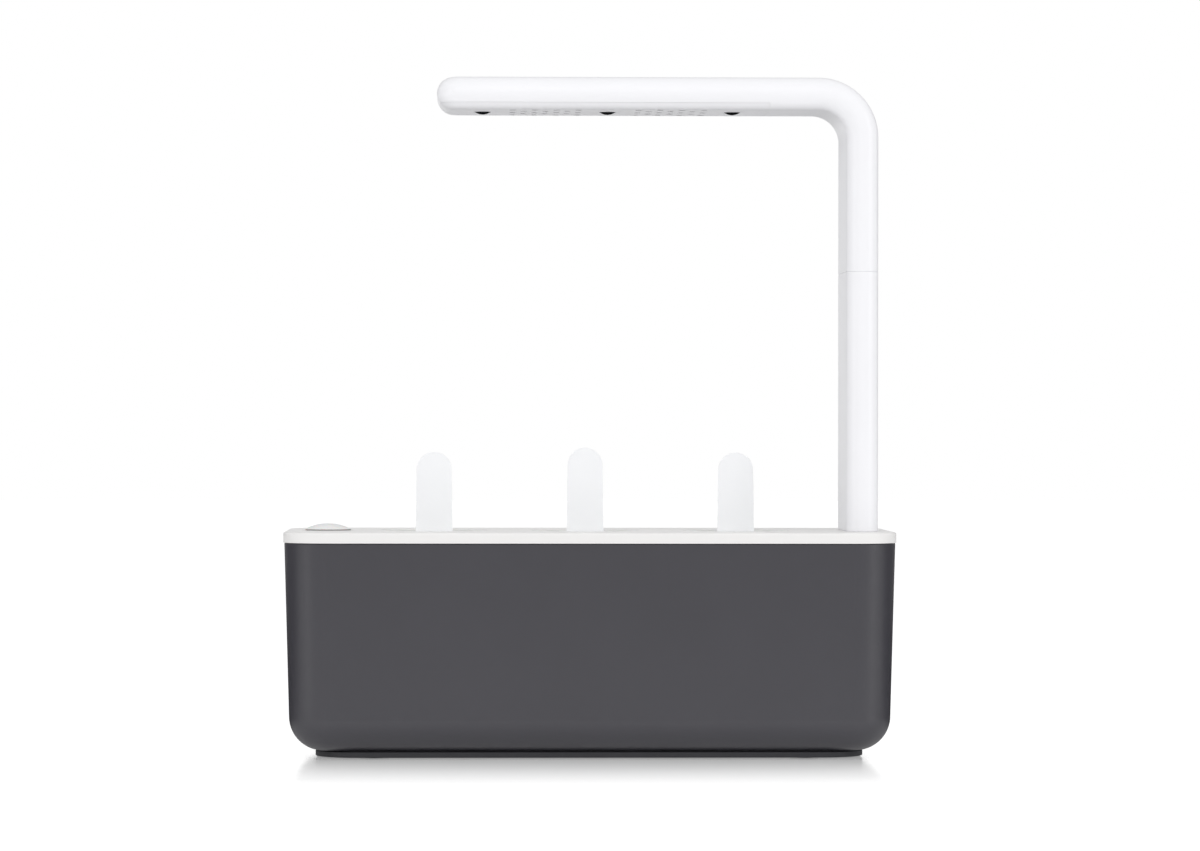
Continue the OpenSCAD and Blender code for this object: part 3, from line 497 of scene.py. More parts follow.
def finish(name):
    """The named material, made on first use: a drift in lightness, a wander in roughness and a
    grain as bump, each a noise over Object coordinates."""
    if name in bpy.data.materials:
        return bpy.data.materials[name]
    _, rough, width, height, fineness, drift, wander, specular, *more = FINISHES[name]
    made = bpy.data.materials.new(name)
    add = emptied(made)
    place = add("TexCoord")["Object"]
    slow, middling, fine = (
        add("TexNoise", {
            "Vector": place, "Scale": 1 / (size * MM), "Detail": detail, "Roughness": 0.55,
        })["Fac"]
        for size, detail in ((DRIFT_WIDTH, 2.0), (WANDER_WIDTH, 2.0), (width, fineness))
    )
    # A noise runs from about 0.3 to 0.7
    value, roughness = (
        add("MapRange", (noise, 0.3, 0.7, middle - reach, middle + reach))["Result"]
        for noise, middle, reach in ((slow, 1, drift), (middling, rough, wander))
    )
    tint = (*getattr(bpy.context.scene.garden_finishes, name), 1)
    tone = add("HueSaturation", {"Color": tint, "Value": value})["Color"]
    bump = add("Bump", {"Height": fine, "Distance": height * MM, "Strength": 1.0})["Normal"]
    face = add("BsdfPrincipled", {
        "Base Color": tone, "Roughness": roughness, "Normal": bump, "Specular IOR Level": specular,
        **(more[0] if more else {}),
    })
    add("OutputMaterial", {"Surface": face["BSDF"]})
    return made


# ---- Tank ----

class GARDEN_OT_tank(bpy.types.Operator):
    """Builds the tank: a drafted tub with a rounded bottom edge and a notch for the inlet"""
    bl_idname = "garden.tank"
    bl_label = "Tank"

    def execute(self, context):
        s = context.scene.garden_tank
        low, high, *_ = span("tank_shell")
        floor, under_rim = low[2] + s.wall, high[2] - s.rim_chamfer
        wall = s.wall / cos(s.draft)

        def wall_r(z):
            """Radius of the drafted outer wall at height z."""
            return s.corner - (high[2] - z) * tan(s.draft)

        profile = filleted([
            (CAP, low[2], 0), (wall_r(low[2]), low[2], s.fillet),
            (wall_r(under_rim), under_rim, CRISP), (s.corner - s.rim_chamfer, high[2], CRISP),
            (s.corner - wall, high[2], SOFT), (wall_r(floor) - wall, floor, s.fillet - s.wall),
            (CAP, floor, 0),
        ], 4)
        tank = tub("tank", profile, high[0] - s.corner, high[1] - s.corner)
        inlet, half, round_corner = span("dc_inlet")[2], s.notch_width / 2, 1 * MM
        sill = high[2] - s.notch_depth
        notch = filleted([
            (inlet - half, high[2] + OVER, 0), (inlet - half, sill, round_corner),
            (inlet + half, sill, round_corner), (inlet + half, high[2] + OVER, 0),
        ], 6)
        # Raised along Y: the prism's y and z change places
        carve(tank, [prism(notch, high[1] - s.corner, high[1] + OVER)[..., [0, 2, 1]]])
        settle(tank, "charcoal_ABS", "tank", "tank_shell")
        return {"FINISHED"}


class GARDEN_OT_plinth(bpy.types.Operator):
    """Builds the plinth and its four rubber pads"""
    bl_idname = "garden.plinth"
    bl_label = "Plinth and pads"

    def execute(self, context):
        s = context.scene.garden_tank
        low, high, *_ = span("base_plinth")
        corner, neck, edge = s.plinth_corner, s.plinth_corner - s.plinth_neck, 0.5 * MM
        top = high[2] - s.shadow_gap
        profile = filleted([
            (CAP, low[2], 0), (corner, low[2], edge), (corner, top, edge),
            (neck, top, 0), (neck, high[2], 0), (CAP, high[2], 0),
        ])
        plinth = tub("plinth", profile, high[0] - corner, high[1] - corner, 14)
        low, high, *_ = span("foot_pads")
        r, play = s.pad_width / 2, 0.15 * MM
        places = [(sx * (high[0] - r), sy * (high[1] - r)) for sx in (-1, 1) for sy in (-1, 1)]
        recess = rod(r + play, -OVER, high[2])
        carve(plinth, [turned(recess, x, y, 10) for x, y in places])
        settle(plinth, "black_PP", "tank", "base_plinth")
        pad = filleted([(0, low[2], 0), (r, low[2], edge), (r, high[2], 0), (0, high[2], 0)])
        pads = solid("rubber_pads", [turned(pad, x, y, 10) for x, y in places])
        settle(pads, "rubber", "tank", "foot_pads")
        return {"FINISHED"}


# ---- Lid ----

def mouth(r, low, top, lip, turn, flare=OVER, ledge=()):
    """Profile of the cutter for a round opening of radius r, rounded by lip at height top, with
    the corners of a ledge below it."""
    return filleted([
        (0, low, 0), *(ledge or [(r, low, 0)]), (r, top, lip), (r + flare, top, 0),
        (r + flare, top + flare, 0), (0, top + flare, 0),
    ], turn)


class GARDEN_OT_lid(bpy.types.Operator):
    """Builds the lid: a thin-edged cover with openings for the cups, the float and the post"""
    bl_idname = "garden.lid"
    bl_label = "Lid"

    def execute(self, context):
        s = context.scene.garden_lid
        plants = context.scene.garden_plants
        low, high, *_ = span("lid_cover")
        half_y = high[1] - s.corner
        top, rim, plate = high[2], high[2] - s.edge, high[2] - s.wall
        below = rim - OVER
        rib, skirt = s.corner - s.rib_gap, s.corner - 2.8 * MM
        inside, lead_in, low_edge = rib - 1.6 * MM, 0.5 * MM, 0.25 * MM
        profile = filleted([
            (CAP, plate, 0), (inside, plate, 0), (inside, low[2], SOFT),
            (rib, low[2], lead_in), (rib, plate, 0), (skirt, plate, 0), (skirt, rim, EDGE),
            (s.corner, rim, low_edge), (s.corner, top, s.fillet), (CAP, top, 0),
        ], 10)
        lid = tub("lid", profile, high[0] - s.corner, half_y)
        places = [span("plant_cup_" + name)[2] for name in PLANTS]
        _, cup_top, _, flange = span("plant_cup_middle")
        # A collar under each cup's opening reaches beyond the cup's flange
        reach, drop, play = 2.2 * MM, 2.6 * MM, 0.5 * MM
        collar = rod(flange + reach, plate - drop, plate + SOFT)
        carve(lid, [turned(collar, x) for x in places], "UNION")
        seat, opening = cup_top[2] - plants.flange, flange + plants.flange_gap
        inner = plants.cup_width / 2 + play
        ledge = [(inner, below, 0), (inner, seat, 0), (opening, seat, 0)]
        cup_mouth = mouth(opening, below, top, s.lip, 18, ledge=ledge)
        _, _, float_x, cap_r = span("float_cap")
        well = mouth(cap_r + s.float_gap, below, top, s.lip, 18)
        half = (s.slot_length - s.slot_width) / 2
        slot = track(half, s.slot_width / 2, 10) + [span("extension_tube")[2], 0]
        inlet = span("dc_inlet")[2]
        # The rib's gap for the power inlet
        room, rib_end = 8 * MM, half_y + rib + play
        carve(lid, [
            *(turned(cup_mouth, x, 0, 20) for x in places), turned(well, float_x),
            prism(slot, below, top + OVER),
            block(inlet - room, inlet + room, half_y, rib_end, low[2] - OVER, plate),
        ])
        settle(lid, "white_ABS", "lid", "lid_cover")
        return {"FINISHED"}


class GARDEN_OT_inlet_contacts(bpy.types.Operator):
    """Lines the power inlet with its metal sleeve and puts a pin with a round tip into it"""
    bl_idname = "garden.inlet_contacts"
    bl_label = "Inlet contacts"

    def execute(self, context):
        s = context.scene.garden_lid
        _, high, x, _ = span("dc_inlet")
        z = span("lid_cover")[1][2] - s.inlet_drop
        depth, sleeve_in, pin_in, pin, play, sheet = np.array([9.5, 1.4, 0.7, 2, 0.02, 0.2]) * MM
        floor, end, tip = high[1] - depth, high[1] - sleeve_in, high[1] - pin_in
        outer, pin = s.inlet_bore / 2 - play, pin / 2 + play
        inner = outer - sheet
        ring = [(outer, floor), (outer, end), (inner, end), (inner, floor), (outer, floor)]
        shaft = filleted([(0, floor, 0), (pin, floor, 0), (pin, tip, 0.8 * pin), (0, tip, 0)])
        for name, profile in (("inlet_sleeve", ring), ("inlet_pin", shaft)):
            # Turned about an upright axis, then y and z change places
            piece = solid(name, [turned(profile, x, z)[..., [0, 2, 1]]])
            settle(piece, "zinc_steel", "lid")
        return {"FINISHED"}


class GARDEN_OT_float(bpy.types.Operator):
    """Builds the float's cap: a shallow dome on a cone and a skirt"""
    bl_idname = "garden.float"
    bl_label = "Float cap"

    def execute(self, context):
        s = context.scene.garden_float
        low, high, x, rim_r = span("float_cap")
        rim = high[2] - s.dome
        step, neck, bore, shoulder = rim - s.step, s.neck / 2, s.bore / 2, 1.3 * MM
        skirt = neck - shoulder
        # The dome ends a little before the edge, which is rounded
        dome = cap_of_ball(rim_r, s.dome, high[2], -1, 24, 0.985)
        rest = filleted([
            (*dome[-1], 0), (rim_r, rim, CRISP), (neck, step, EDGE), (skirt, step, 0),
            (skirt, low[2], EDGE), (bore, low[2], EDGE), (bore, step, 0), (0, step, 0),
        ])
        cap = solid("float_cap_dome", [turned(np.concatenate([dome, rest[1:]]), x)])
        settle(cap, "float_PP", "float", "float_cap")
        return {"FINISHED"}


def cap_of_ball(r, rise, pole, way, steps, share=1.0):
    """Profile of a ball's cap of radius r and height rise whose pole lies at z pole.

    The ball's radius is R = (r^2 + rise^2) / (2 rise). The profile runs from the pole along
    R sin(b) and z = pole + way * R (1 - cos(b)), up to that share of the angle to the cap's edge.
    """
    ball = (r ** 2 + rise ** 2) / (2 * rise)
    b = np.linspace(0, asin(r / ball) * share, steps)
    return np.column_stack([ball * np.sin(b), pole + way * ball * (1 - np.cos(b))])


# ---- Cups, pods and tags ----

class GARDEN_OT_cups(bpy.types.Operator):
    """Builds the three plant cups with their seats and air slots"""
    bl_idname = "garden.cups"
    bl_label = "Plant cups"

    def execute(self, context):
        s = context.scene.garden_plants
        floor_r, top_r = s.cup_floor / 2, s.cup_width / 2
        # Upright air slots with round ends, at every sixth of a turn
        side = track((s.slot_height - s.slot_width) / 2, s.slot_width / 2, 6)
        past, foot, seat_deep, slot_low = np.array([4, 1.2, 0.9, 8]) * MM
        wick_reach, wick_deep = 7.4 * MM, 1.6 * MM
        slot = prism(side, floor_r - past, top_r + past)
        turns = np.radians(np.arange(30, 390, 60))
        for name in PLANTS:
            low, high, x, flange = span("plant_cup_" + name)
            under, seat, floor = high[2] - s.flange, high[2] - seat_deep, low[2] + s.cup_wall
            ledge = span("pod_shell_" + name)[1][0] - x + s.flange_gap
            profile = filleted([
                (0, low[2], 0), (floor_r, low[2], foot), (top_r, under, 0),
                (flange, under, CRISP), (flange, high[2], SOFT), (ledge, high[2], EDGE),
                (ledge, seat, 0), (top_r - s.cup_wall, seat, EDGE),
                (floor_r - s.cup_wall, floor, foot / 2), (0, floor, 0),
            ])
            cup = solid("cup_" + name, [turned(profile, x, 0, 20)])
            across, up, out = np.moveaxis(slot, -1, 0)
            grids = [
                np.stack([
                    x + out * cos(a) - across * sin(a),
                    out * sin(a) + across * cos(a),
                    up + floor + slot_low + s.slot_height / 2,
                ], axis=-1)
                for a in turns
            ]
            # The slot that lets the wick out
            half = min(span("wick_" + name)[3], wick_reach)
            out = (x - half, x + half, -wick_deep, wick_deep, low[2] - OVER, low[2] + OVER)
            carve(cup, [*grids, block(*out)])
            settle(cup, "cup_PP", "cup_" + name, "plant_cup_" + name)
        return {"FINISHED"}


def medium(name, x, top_r, low, high, chance, s):
    """A plug of foam. Its top sinks by crumb * (0.5 - 0.5 * h), where h is the sum of sine
    waves of 1.5 to 5 mm in many directions, scaled and cut to -1..1."""
    rest, edge, foot_inset, waves, calm = 0.1 * MM, 2 * MM, 3.8 * MM, 24, 7
    r = np.linspace(0, top_r, 70)
    a = np.linspace(0, 2 * pi, 180, endpoint=False)
    rr, aa = np.meshgrid(r, a, indexing="ij")
    px, py = x + rr * np.cos(aa), rr * np.sin(aa)
    size = chance.uniform(1.5, 5, waves) * MM
    heading, phase = chance.uniform(0, 2 * pi, (2, waves))
    kx, ky = 2 * pi / size * np.cos(heading), 2 * pi / size * np.sin(heading)
    swell = np.sin(px[..., None] * kx + py[..., None] * ky + phase).sum(axis=-1)
    pz = high - rest - s.crumb * (0.5 - 0.5 * np.clip(swell / calm, -1, 1))
    # The side and the foot
    side = np.array([[top_r, high - edge], [s.cup_floor / 2 - foot_inset, low], [0, low]])
    out, z = side[:, :1], side[:, 1:]
    top, skirt = np.stack([px, py, pz], axis=-1), around(x, 0, out, a, z)
    return solid(name, [np.concatenate([top, skirt])])


class GARDEN_OT_pods(bpy.types.Operator):
    """Builds the three pods: shell, crumbly growing medium and card cover"""
    bl_idname = "garden.pods"
    bl_label = "Pods"

    def execute(self, context):
        s = context.scene.garden_plants
        chance = np.random.default_rng(5)
        drains, drain_r, pod_inset, pod_reach, pod_rim = 5, 2 * MM, 2.3 * MM, 1.9 * MM, 0.8 * MM
        inner_edge, card_edge, sprout_flare = 0.4 * MM, 0.08 * MM, 2 * MM
        tag_play, slit_deep, slit_half = 0.4 * MM, 11 * MM, 0.5 * MM
        for name in PLANTS:
            body = "pod_" + name
            low, high, x, rim_r = span("pod_shell_" + name)
            wall_r, floor_r = rim_r - pod_reach, s.cup_floor / 2 - pod_inset
            under, floor = high[2] - pod_rim, low[2] + s.pod_wall
            profile = filleted([
                (0, low[2], 0), (floor_r, low[2], 2 * inner_edge), (wall_r, under, 0),
                (rim_r, under, CRISP), (rim_r, high[2], SOFT),
                (wall_r - s.pod_wall, high[2], inner_edge),
                (floor_r - s.pod_wall, floor, inner_edge), (0, floor, 0),
            ])
            shell = solid(body, [turned(profile, x, 0, 20)])
            drain = rod(drain_r, low[2] - OVER, low[2] + OVER)
            turns = np.arange(drains) * 2 * pi / drains
            carve(shell, [
                turned(drain, x + floor_r / 2 * cos(a), floor_r / 2 * sin(a), 6)
                for a in turns
            ])
            settle(shell, "pod_PP", body, "pod_shell_" + name)
            half = span("plant_tag_" + name)[3] + tag_play
            slit = partial(block, x - half, x + half, -slit_half, slit_half)

            low, high, _, top_r = span("growing_medium_" + name)
            plug = medium("medium_" + name, x, top_r, low[2], high[2], chance, s)
            carve(plug, [slit(high[2] - slit_deep, high[2] + OVER)])
            settle(plug, "peat_foam", body, "growing_medium_" + name, sharp=60)

            # A round card with two sprout holes and a slit for the tag
            low, high, _, r = span("pod_cover_" + name)
            profile = [(0, low[2], 0), (r, low[2], card_edge), (r, high[2], CRISP), (0, high[2], 0)]
            card = solid("card_" + name, [turned(filleted(profile, 30), x, 0, 20)])
            sprout = mouth(s.sprout / 2, low[2] - OVER, high[2], CRISP, 30, sprout_flare)
            grids = [turned(sprout, x, side * s.sprout_place, 10) for side in (-1, 1)]
            carve(card, [slit(low[2] - OVER, high[2] + OVER), *grids])
            settle(card, "coated_card", body, "pod_cover_" + name)
        return {"FINISHED"}


class GARDEN_OT_tags(bpy.types.Operator):
    """Builds the three blank tags with round tops and a raised border"""
    bl_idname = "garden.tags"
    bl_label = "Plant tags"

    def execute(self, context):
        s = context.scene.garden_plants
        foot, top = s.tag_foot / 2, s.tag_top / 2
        waist, panel = span("lid_cover")[1][2], 0.06 * MM
        a = np.linspace(0, pi, 49)
        b = np.linspace(0, pi / 2, 4)
        for name in PLANTS:
            low, high, x, _ = span("plant_tag_" + name)

            def outline(inset):
                """Foot, tapering sides and a half circle, all moved inwards by inset."""
                r, side, ground = top - inset, foot - inset, low[2] + inset
                arc = np.column_stack([r * np.cos(a), high[2] - top + r * np.sin(a)])
                right = [[side, ground], [side, waist]]
                return np.concatenate([right, arc, [[-side, waist], [-side, ground]]])

            half = (high[1] - low[1]) / 2
            edge = [(FINE * (1 - cos(t)), half - FINE + FINE * sin(t)) for t in b]
            face = [*edge, (s.tag_border, half), (s.tag_border + CRISP, half - panel)]
            rows = [(inset, -y) for inset, y in reversed(face)] + face
            grid = np.stack([np.insert(outline(inset), 1, y, axis=1) for inset, y in rows])
            grid += [x, (low[1] + high[1]) / 2, 0]
            tag = solid("tag_" + name, [grid], [grid[0], grid[-1]])
            settle(tag, "frosted_sheet", "pod_" + name, "plant_tag_" + name, sharp=40)
        return {"FINISHED"}


# ---- Post and lamp ----

class GARDEN_OT_extension(bpy.types.Operator):
    """Builds the post's lower length: an oval tube with rounded ends"""
    bl_idname = "garden.extension"
    bl_label = "Post extension"

    def execute(self, context):
        s = context.scene.garden_lamp
        low, high, x, _ = span("extension_tube")
        r = s.thickness / 2
        half = (high[1] - low[1]) / 2 - r
        foot, head = (end_rows(s.wall, s.edge, z, up) for z, up in ((low[2], 1), (high[2], -1)))
        rows = foot + head[::-1] + foot[:1]
        grid = np.stack([
            np.insert(track(half, r - inset, 24), 2, z, axis=1) for inset, z in rows
        ]) + [x, 0, 0]
        tube = solid("post_extension", [grid])
        settle(tube, "gloss_white_ABS", "extension", "extension_tube")
        return {"FINISHED"}


def lamp_skin(name, s):
    """The bent lamp as one hollow skin.

    An oval section is carried along the path: up the post, round the bend, along the arm. At a path
    point P with outward direction n, a section point (across, along) lies at P + across * n in
    the XZ plane and at Y = along. Rows run along the inner skin to the seam, over the wall's
    rounded end, and back along the outer skin. The free end is the nose's profile carried round
    the two corners: r = end radius - nose radius + nose * cos(q), z = nose * sin(q).
    """
    low, high, *_ = span("lamp_housing")
    r = s.thickness / 2
    half = (high[1] - low[1]) / 2 - r
    axis_z, post_x = high[2] - r, high[0] - r
    bend = s.bend + r
    corner_x, corner_y = low[0] + s.end, half + r - s.end
    b = np.linspace(0, pi / 2, 33)
    post = np.column_stack([np.full(2, post_x), [low[2] + s.edge, axis_z - bend], [1, 1], [0, 0]])
    curve = np.column_stack([
        post_x - bend + bend * np.cos(b), axis_z - bend + bend * np.sin(b), np.cos(b), np.sin(b),
    ])
    path = np.concatenate([post, curve[1:], [[corner_x, axis_z, 0, 1]]])
    seam = [(post_x, z, 1, 0, inset) for inset, z in end_rows(s.wall, s.edge, low[2], 1)]
    rows = np.concatenate([
        np.insert(path[::-1], 4, s.wall, axis=1), seam, np.insert(path, 4, 0, axis=1),
    ])
    steps = 24
    sections = np.stack([track(half, r - inset, steps) for inset in rows[:, 4]])
    across, along = sections[..., 0], sections[..., 1]
    grids = [np.stack([
        rows[:, :1] + across * rows[:, 2:3], along, rows[:, 1:2] + across * rows[:, 3:4],
    ], axis=-1)]
    a = np.linspace(pi / 2, pi, 17)
    a = np.concatenate([a, a + pi / 2])
    side = np.repeat([corner_y, -corner_y], 17)
    q = np.linspace(pi / 2, -pi / 2, steps + 1)[:, None]
    for nose in (r, r - s.wall):
        reach, z = s.end - r + nose * np.cos(q), axis_z + nose * np.sin(q)
        grids.append(around(corner_x, side, reach, a, z))
    return solid(name, grids, [grid[k] for grid in grids[1:] for k in (0, -1)], 1)


# The boss over a light pocket inside the cover, and the depth of the pocket's dish
BOSS_RADIUS, BOSS_HEIGHT, DISH = 7.6 * MM, 3.5 * MM, 0.2 * MM


def cover_zone(s, grow):
    """Block below the parting line that the underside cover takes from the lamp."""
    low, past, side = span("lamp_cover")[0], 5 * MM, 60 * MM
    end, top = low[0] + s.cover + grow, low[2] + s.parting + grow
    return block(low[0] - past, end, -side, side, low[2] - past, top)


class GARDEN_OT_lamp_housing(bpy.types.Operator):
    """Builds the bent lamp housing down to its parting line"""
    bl_idname = "garden.lamp_housing"
    bl_label = "Lamp housing"

    def execute(self, context):
        s = context.scene.garden_lamp
        housing = lamp_skin("lamp_bend", s)
        carve(housing, [cover_zone(s, 0)])
        settle(housing, "gloss_white_ABS", "lamp", "lamp_housing")
        return {"FINISHED"}


class GARDEN_OT_lamp_cover(bpy.types.Operator):
    """Builds the underside cover with its light pockets and vent holes"""
    bl_idname = "garden.lamp_cover"
    bl_label = "Lamp cover"

    def execute(self, context):
        s = context.scene.garden_lamp
        low = span("lamp_cover")[0]
        z, past, gap = low[2], 1 * MM, 0.08 * MM
        cover = lamp_skin("lamp_underside", s)
        carve(cover, [cover_zone(s, -gap)], "INTERSECT")
        pockets = [low[0] + s.pocket_first + k * s.pocket_pitch for k in range(3)]
        boss = rod(BOSS_RADIUS, z + s.wall / 2, z + BOSS_HEIGHT)
        carve(cover, [turned(boss, x, 0, 12) for x in pockets], "UNION")
        wide, throat, above = s.pocket_mouth / 2, s.pocket_throat / 2, z + BOSS_HEIGHT + OVER
        dish = filleted([
            (0, z - OVER, 0), (wide + past, z - OVER, 0), (wide + past, z, 0), (wide, z, FINE),
            (throat, z + DISH, FINE / 2), (throat, above, 0), (0, above, 0),
        ], 6)
        # A vent hole is a cone that widens through the wall
        vent, end = s.vent / 2, s.wall + past
        flared = vent + end * tan(s.vent_flare)
        hole = [(0, z - past), (vent, z - past), (vent, z), (flared, z + end), (0, z + end)]
        # Hexagonal grids between the pockets: five rows of four and three holes in turns
        row = s.vent_pitch * sqrt(3) / 2
        grids = [turned(dish, x) for x in pockets]
        for middle in ((pockets[0] + pockets[1]) / 2, (pockets[1] + pockets[2]) / 2):
            for k in range(-2, 3):
                last = 3 - k % 2
                grids += [turned(hole, middle + (i - last / 2) * s.vent_pitch, k * row, 5)
                          for i in range(last + 1)]
        carve(cover, grids)
        settle(cover, "gloss_white_ABS", "lamp", "lamp_cover")
        return {"FINISHED"}


class GARDEN_OT_lenses(bpy.types.Operator):
    """Builds the three lenses: a barrel with a dome below the underside and a flange above"""
    bl_idname = "garden.lenses"
    bl_label = "Lenses"

    def execute(self, context):
        s = context.scene.garden_lamp
        low, high, *_ = span("led_lenses")
        under = span("lamp_cover")[0]
        edge, seat = under[2] + DISH, under[2] + BOSS_HEIGHT
        play, overlap, throat = 0.2 * MM, 1.2 * MM, s.pocket_throat / 2
        barrel, flange = throat - play, throat + overlap
        face = cap_of_ball(barrel, edge - low[2], low[2], 1, 16)
        rest = filleted([
            (barrel, edge, 0), (barrel, seat, 0), (flange, seat, FINE), (flange, high[2], EDGE),
            (0, high[2], 0),
        ], 20)
        profile = np.concatenate([face, rest[1:]])
        first = under[0] + s.pocket_first
        lenses = solid("lenses", [turned(profile, first + k * s.pocket_pitch) for k in range(3)])
        settle(lenses, "smoked_acrylic", "lamp", "led_lenses")
        return {"FINISHED"}


# The pieces that stay as they are in the frame
INNER = {
    "white_ABS": "float_guide lamp_socket socket_base extension_plug extension_socket lamp_plug",
    "float_PP": "float_body",
    "black_PP": "dc_inlet",
    "brass": "socket_contacts extension_contacts extension_socket_contacts lamp_contacts",
    "zinc_steel": "socket_screws board_screws",
    "green_solder_mask": "timer_board",
    "white_solder_mask": "led_board",
    "phosphor_gel": "led_emitters",
    "wire_PVC": "extension_wires lamp_wires",
    "needle_felt": "wick_left wick_middle wick_right",
}


class GARDEN_OT_inner_pieces(bpy.types.Operator):
    """Gives the pieces that stay as they are in the frame their materials"""
    bl_idname = "garden.inner_pieces"
    bl_label = "Inner pieces"

    def execute(self, context):
        for material, names in INNER.items():
            for name in names.split():
                dress(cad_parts[name].data, material)
        return {"FINISHED"}


# ---- Stage ----

WHITE = (1, 1, 1, 1)
FLOOR_SIZE = 16
# Reaches along Y, in metres: where the floor in front of the object ends, where that floor
# brightens towards the object, and where the rest grows dim in reflections, down to DIMMEST
FRONT_ENDS, BRIGHTENS, DIM_ENDS, DIMMEST = (-0.1, 0.05), (-0.7, -0.2), (1.0, 2.5), 0.1
# What reflections show: dark screens of this brightness, and the white sheet behind the object,
# the ceiling and the room in front, each with its axis, the reach where it comes up and its light
SCREENS = 0.04
REFLECTED = (("Y", 0.95, 0.99, 0.95), ("Z", 0.1, 0.6, 0.55), ("Y", -0.2, -0.9, 0.5))
# Soft lights: place, width, height, and share of the full light on the object's front
LIGHTS = {
    "key_light": ((-0.4, -2.8, 1.4), 1.8, 1.8, 0.05),
    "left_strip": ((-2.1, -1.2, 0.6), 0.25, 1.4, 0.045),
    "right_strip": ((2.1, -1.2, 0.6), 0.25, 1.4, 0.06),
}
LIGHTS_AIM = Vector((0, 0, 0.15))


def soft_light(name, place, width, height, share):
    """Soft light that adds share of the full light on a face that looks to the front.

    At distance d and at angle t to that face, a light of power P gives P cos(t) / (pi d^2), and
    full light is pi, so P = share * pi^2 * d^2 / cos(t).
    """
    aim = LIGHTS_AIM - Vector(place)
    data = bpy.data.lights.new(name, "AREA")
    data.shape, data.size, data.size_y = "RECTANGLE", width, height
    data.energy = share * pi ** 2 * aim.length_squared / aim.normalized().y
    heading = aim.to_track_quat("-Z", "Y").to_matrix().to_4x4()
    placed(name, data).matrix_world = Matrix.Translation(place) @ heading


def seen_rays(add):
    """1 for rays from the camera or through a see-through piece, else 0."""
    path = add("LightPath")
    ends = (path["Is Camera Ray"], path["Is Transmission Ray"])
    return add("Math", ends, operation="MAXIMUM")[0]


def mirror(add, place, s):
    """The floor's mirror share: it fades with the distance from the plinth's rectangle,
    the length of (max(|x| - half length, 0), max(|y| - half depth, 0))."""
    half, zero = (*span("base_plinth")[1][:2], 0), (0, 0, 0)
    steps = {"ABSOLUTE": (), "SUBTRACT": (half,), "MAXIMUM": (zero,), "LENGTH": ()}
    for step, other in steps.items():
        place, value, *_ = add("VectorMath", (place, *other), operation=step)
    return add("MapRange", (value, 0, s.mirror_reach, s.floor_mirror, 0))[0]


def floor_finish(s):
    """The floor's material. The camera sees it white, with the object's shadow and a fading
    mirror image. Reflections see it bright in front of the object, dark beside and behind."""
    made = bpy.data.materials.new("pale_floor")
    add = emptied(made)
    place = add("TexCoord")["Object"]
    y = add("SeparateXYZ", (place,))["Y"]
    glossy, seen = add("LightPath")["Is Glossy Ray"], seen_rays(add)
    ramps = ((FRONT_ENDS, s.front_lift, 0), (BRIGHTENS, 0, 1), (FRONT_ENDS, 0, 1),
             (DIM_ENDS, 1, DIMMEST))
    front, near, dim, far = (add("MapRange", (y, *r, a, b))[0] for r, a, b in ramps)
    pairs = (near, front), (dim, far)
    front, dim = (add("Math", pair, operation="MULTIPLY")[0] for pair in pairs)
    front, dim = (add("Math", (glossy, part), operation="MULTIPLY")[0] for part in (front, dim))
    lift = add("Math", (seen, s.lift, front), operation="MULTIPLY_ADD")[0]
    diffuse = add("BsdfDiffuse", (3 * (s.floor_tone,) + (1,),))[0]
    coat = add("BsdfAnisotropic", {"Color": WHITE, "Roughness": s.floor_polish})[0]
    share = add("Math", (seen, mirror(add, place, s)), operation="MULTIPLY")[0]
    face = add("MixShader", (share, diffuse, coat))[0]
    face = add("MixShader", (dim, face))[0]
    add("OutputMaterial", (add("AddShader", (face, add("Emission", (WHITE, lift))[0]))[0],))
    return made


def room(s):
    """The world. Its light on a ray that heads along (x, y, z) falls from the horizon's value
    to the ceiling's with z, and grows towards the front with -y. Reflections show what
    REFLECTED says, and the camera sees white."""
    made = bpy.data.worlds.new("room")
    add = emptied(made)
    axes = add("SeparateXYZ", (add("TexCoord")["Generated"],))
    lit = add("Math", (axes["Z"], s.zenith - s.horizon, s.horizon), operation="MULTIPLY_ADD")[0]
    lit = add("Math", (axes["Y"], -s.front, lit), operation="MULTIPLY_ADD")[0]
    mirrored = SCREENS
    for axis, start, end, bright in REFLECTED:
        part = add("MapRange", (axes[axis], start, end, 0, bright))[0]
        mirrored = add("Math", (mirrored, part), operation="ADD")[0]
    lit, mirrored, white = (add("Background", (WHITE, v))[0] for v in (lit, mirrored, 1.0))
    mixed = add("MixShader", (add("LightPath")["Is Glossy Ray"], lit, mirrored))[0]
    add("OutputWorld", (add("MixShader", (seen_rays(add), mixed, white))[0],))
    return made


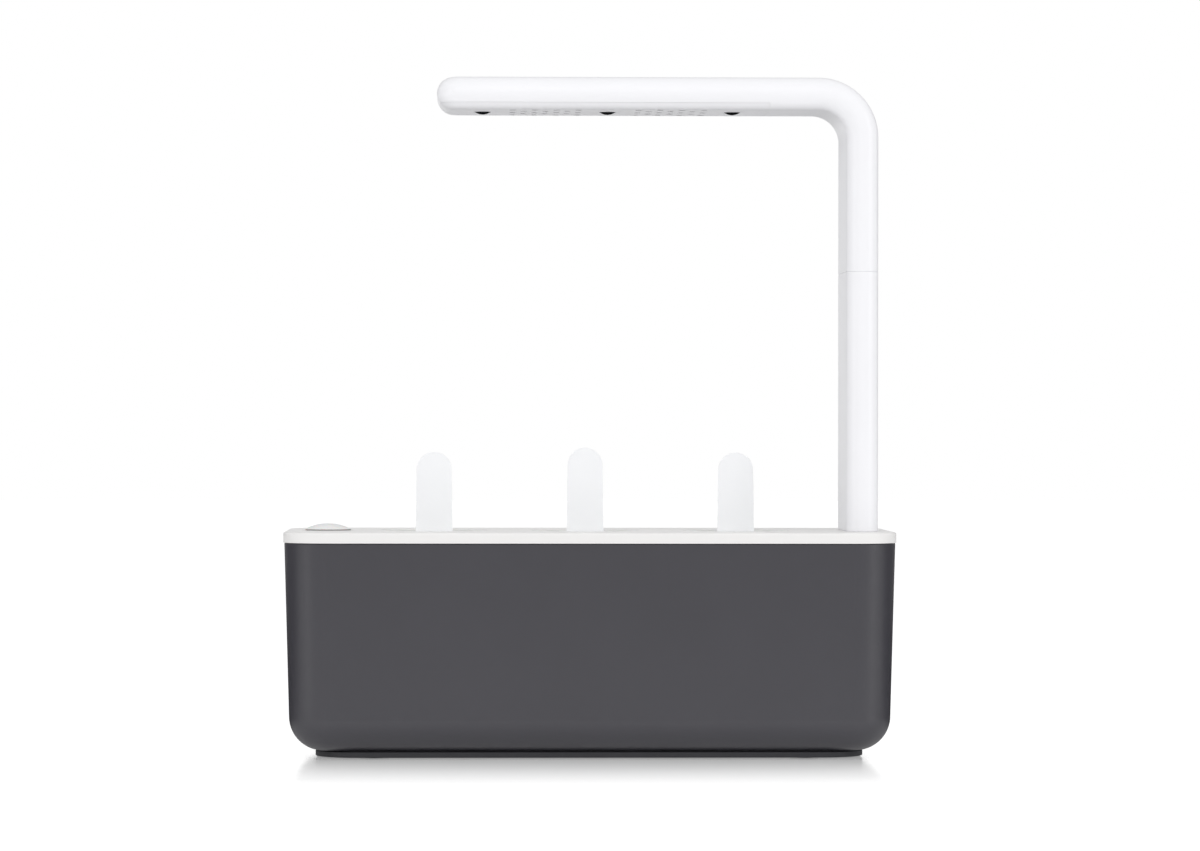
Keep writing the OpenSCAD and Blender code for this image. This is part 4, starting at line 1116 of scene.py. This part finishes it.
class GARDEN_OT_stage(bpy.types.Operator):
    """Sets up the pale floor, the light and the camera"""
    bl_idname = "garden.stage"
    bl_label = "Stage"

    def execute(self, context):
        scene = context.scene
        s = scene.garden_stage
        mesh = bpy.data.meshes.new("floor")
        r = FLOOR_SIZE / 2
        corners = [(-r, -r, 0), (r, -r, 0), (r, r, 0), (-r, r, 0)]
        mesh.from_pydata(corners, [], [range(4)])
        mesh.materials.append(floor_finish(s))
        placed("floor", mesh)
        scene.world = room(s)
        for name, light in LIGHTS.items():
            soft_light(name, *light)

        data = bpy.data.cameras.new("camera")
        data.sensor_width, data.lens = 36, s.lens
        data.clip_start, data.clip_end = 0.05, 50
        camera = placed("camera", data)
        ahead, aside = cos(s.turn), sin(s.turn)
        x, y = ahead * s.side - aside * s.distance, -aside * s.side - ahead * s.distance
        camera.matrix_world = (
            Matrix.Translation((x, y, s.height)) @ Matrix.Rotation(-s.turn, 4, "Z")
            @ Matrix.Rotation(pi / 2, 4, "X") @ Matrix.Rotation(s.roll, 4, "Z")
        )
        scene.camera = camera
        scene.view_settings.view_transform = "Standard"
        return {"FINISHED"}


PIECES = (
    GARDEN_OT_tank, GARDEN_OT_plinth, GARDEN_OT_lid, GARDEN_OT_inlet_contacts, GARDEN_OT_float,
    GARDEN_OT_cups, GARDEN_OT_pods, GARDEN_OT_tags, GARDEN_OT_extension, GARDEN_OT_lamp_housing,
    GARDEN_OT_lamp_cover, GARDEN_OT_lenses, GARDEN_OT_inner_pieces, GARDEN_OT_stage,
)


class GARDEN_PT_pieces(bpy.types.Panel):
    """Lists the garden's pieces"""
    bl_idname = "GARDEN_PT_pieces"
    bl_label = "Hydroponic garden"
    bl_space_type = "VIEW_3D"
    bl_region_type = "UI"
    bl_category = "Garden"

    def draw(self, context):
        for piece in PIECES:
            self.layout.operator(piece.bl_idname)


CLASSES = (*SETTINGS.values(), *PIECES, GARDEN_PT_pieces)


def register():
    for kind in CLASSES:
        bpy.utils.register_class(kind)
    for name, kind in SETTINGS.items():
        setattr(bpy.types.Scene, name, PointerProperty(type=kind))


def unregister():
    for name in SETTINGS:
        delattr(bpy.types.Scene, name)
    for kind in reversed(CLASSES):
        bpy.utils.unregister_class(kind)


def main():
    """Builds every piece and the stage."""
    register()
    for piece in PIECES:
        group, name = piece.bl_idname.split(".")
        getattr(getattr(bpy.ops, group), name)()


if __name__ == "__main__":
    main()
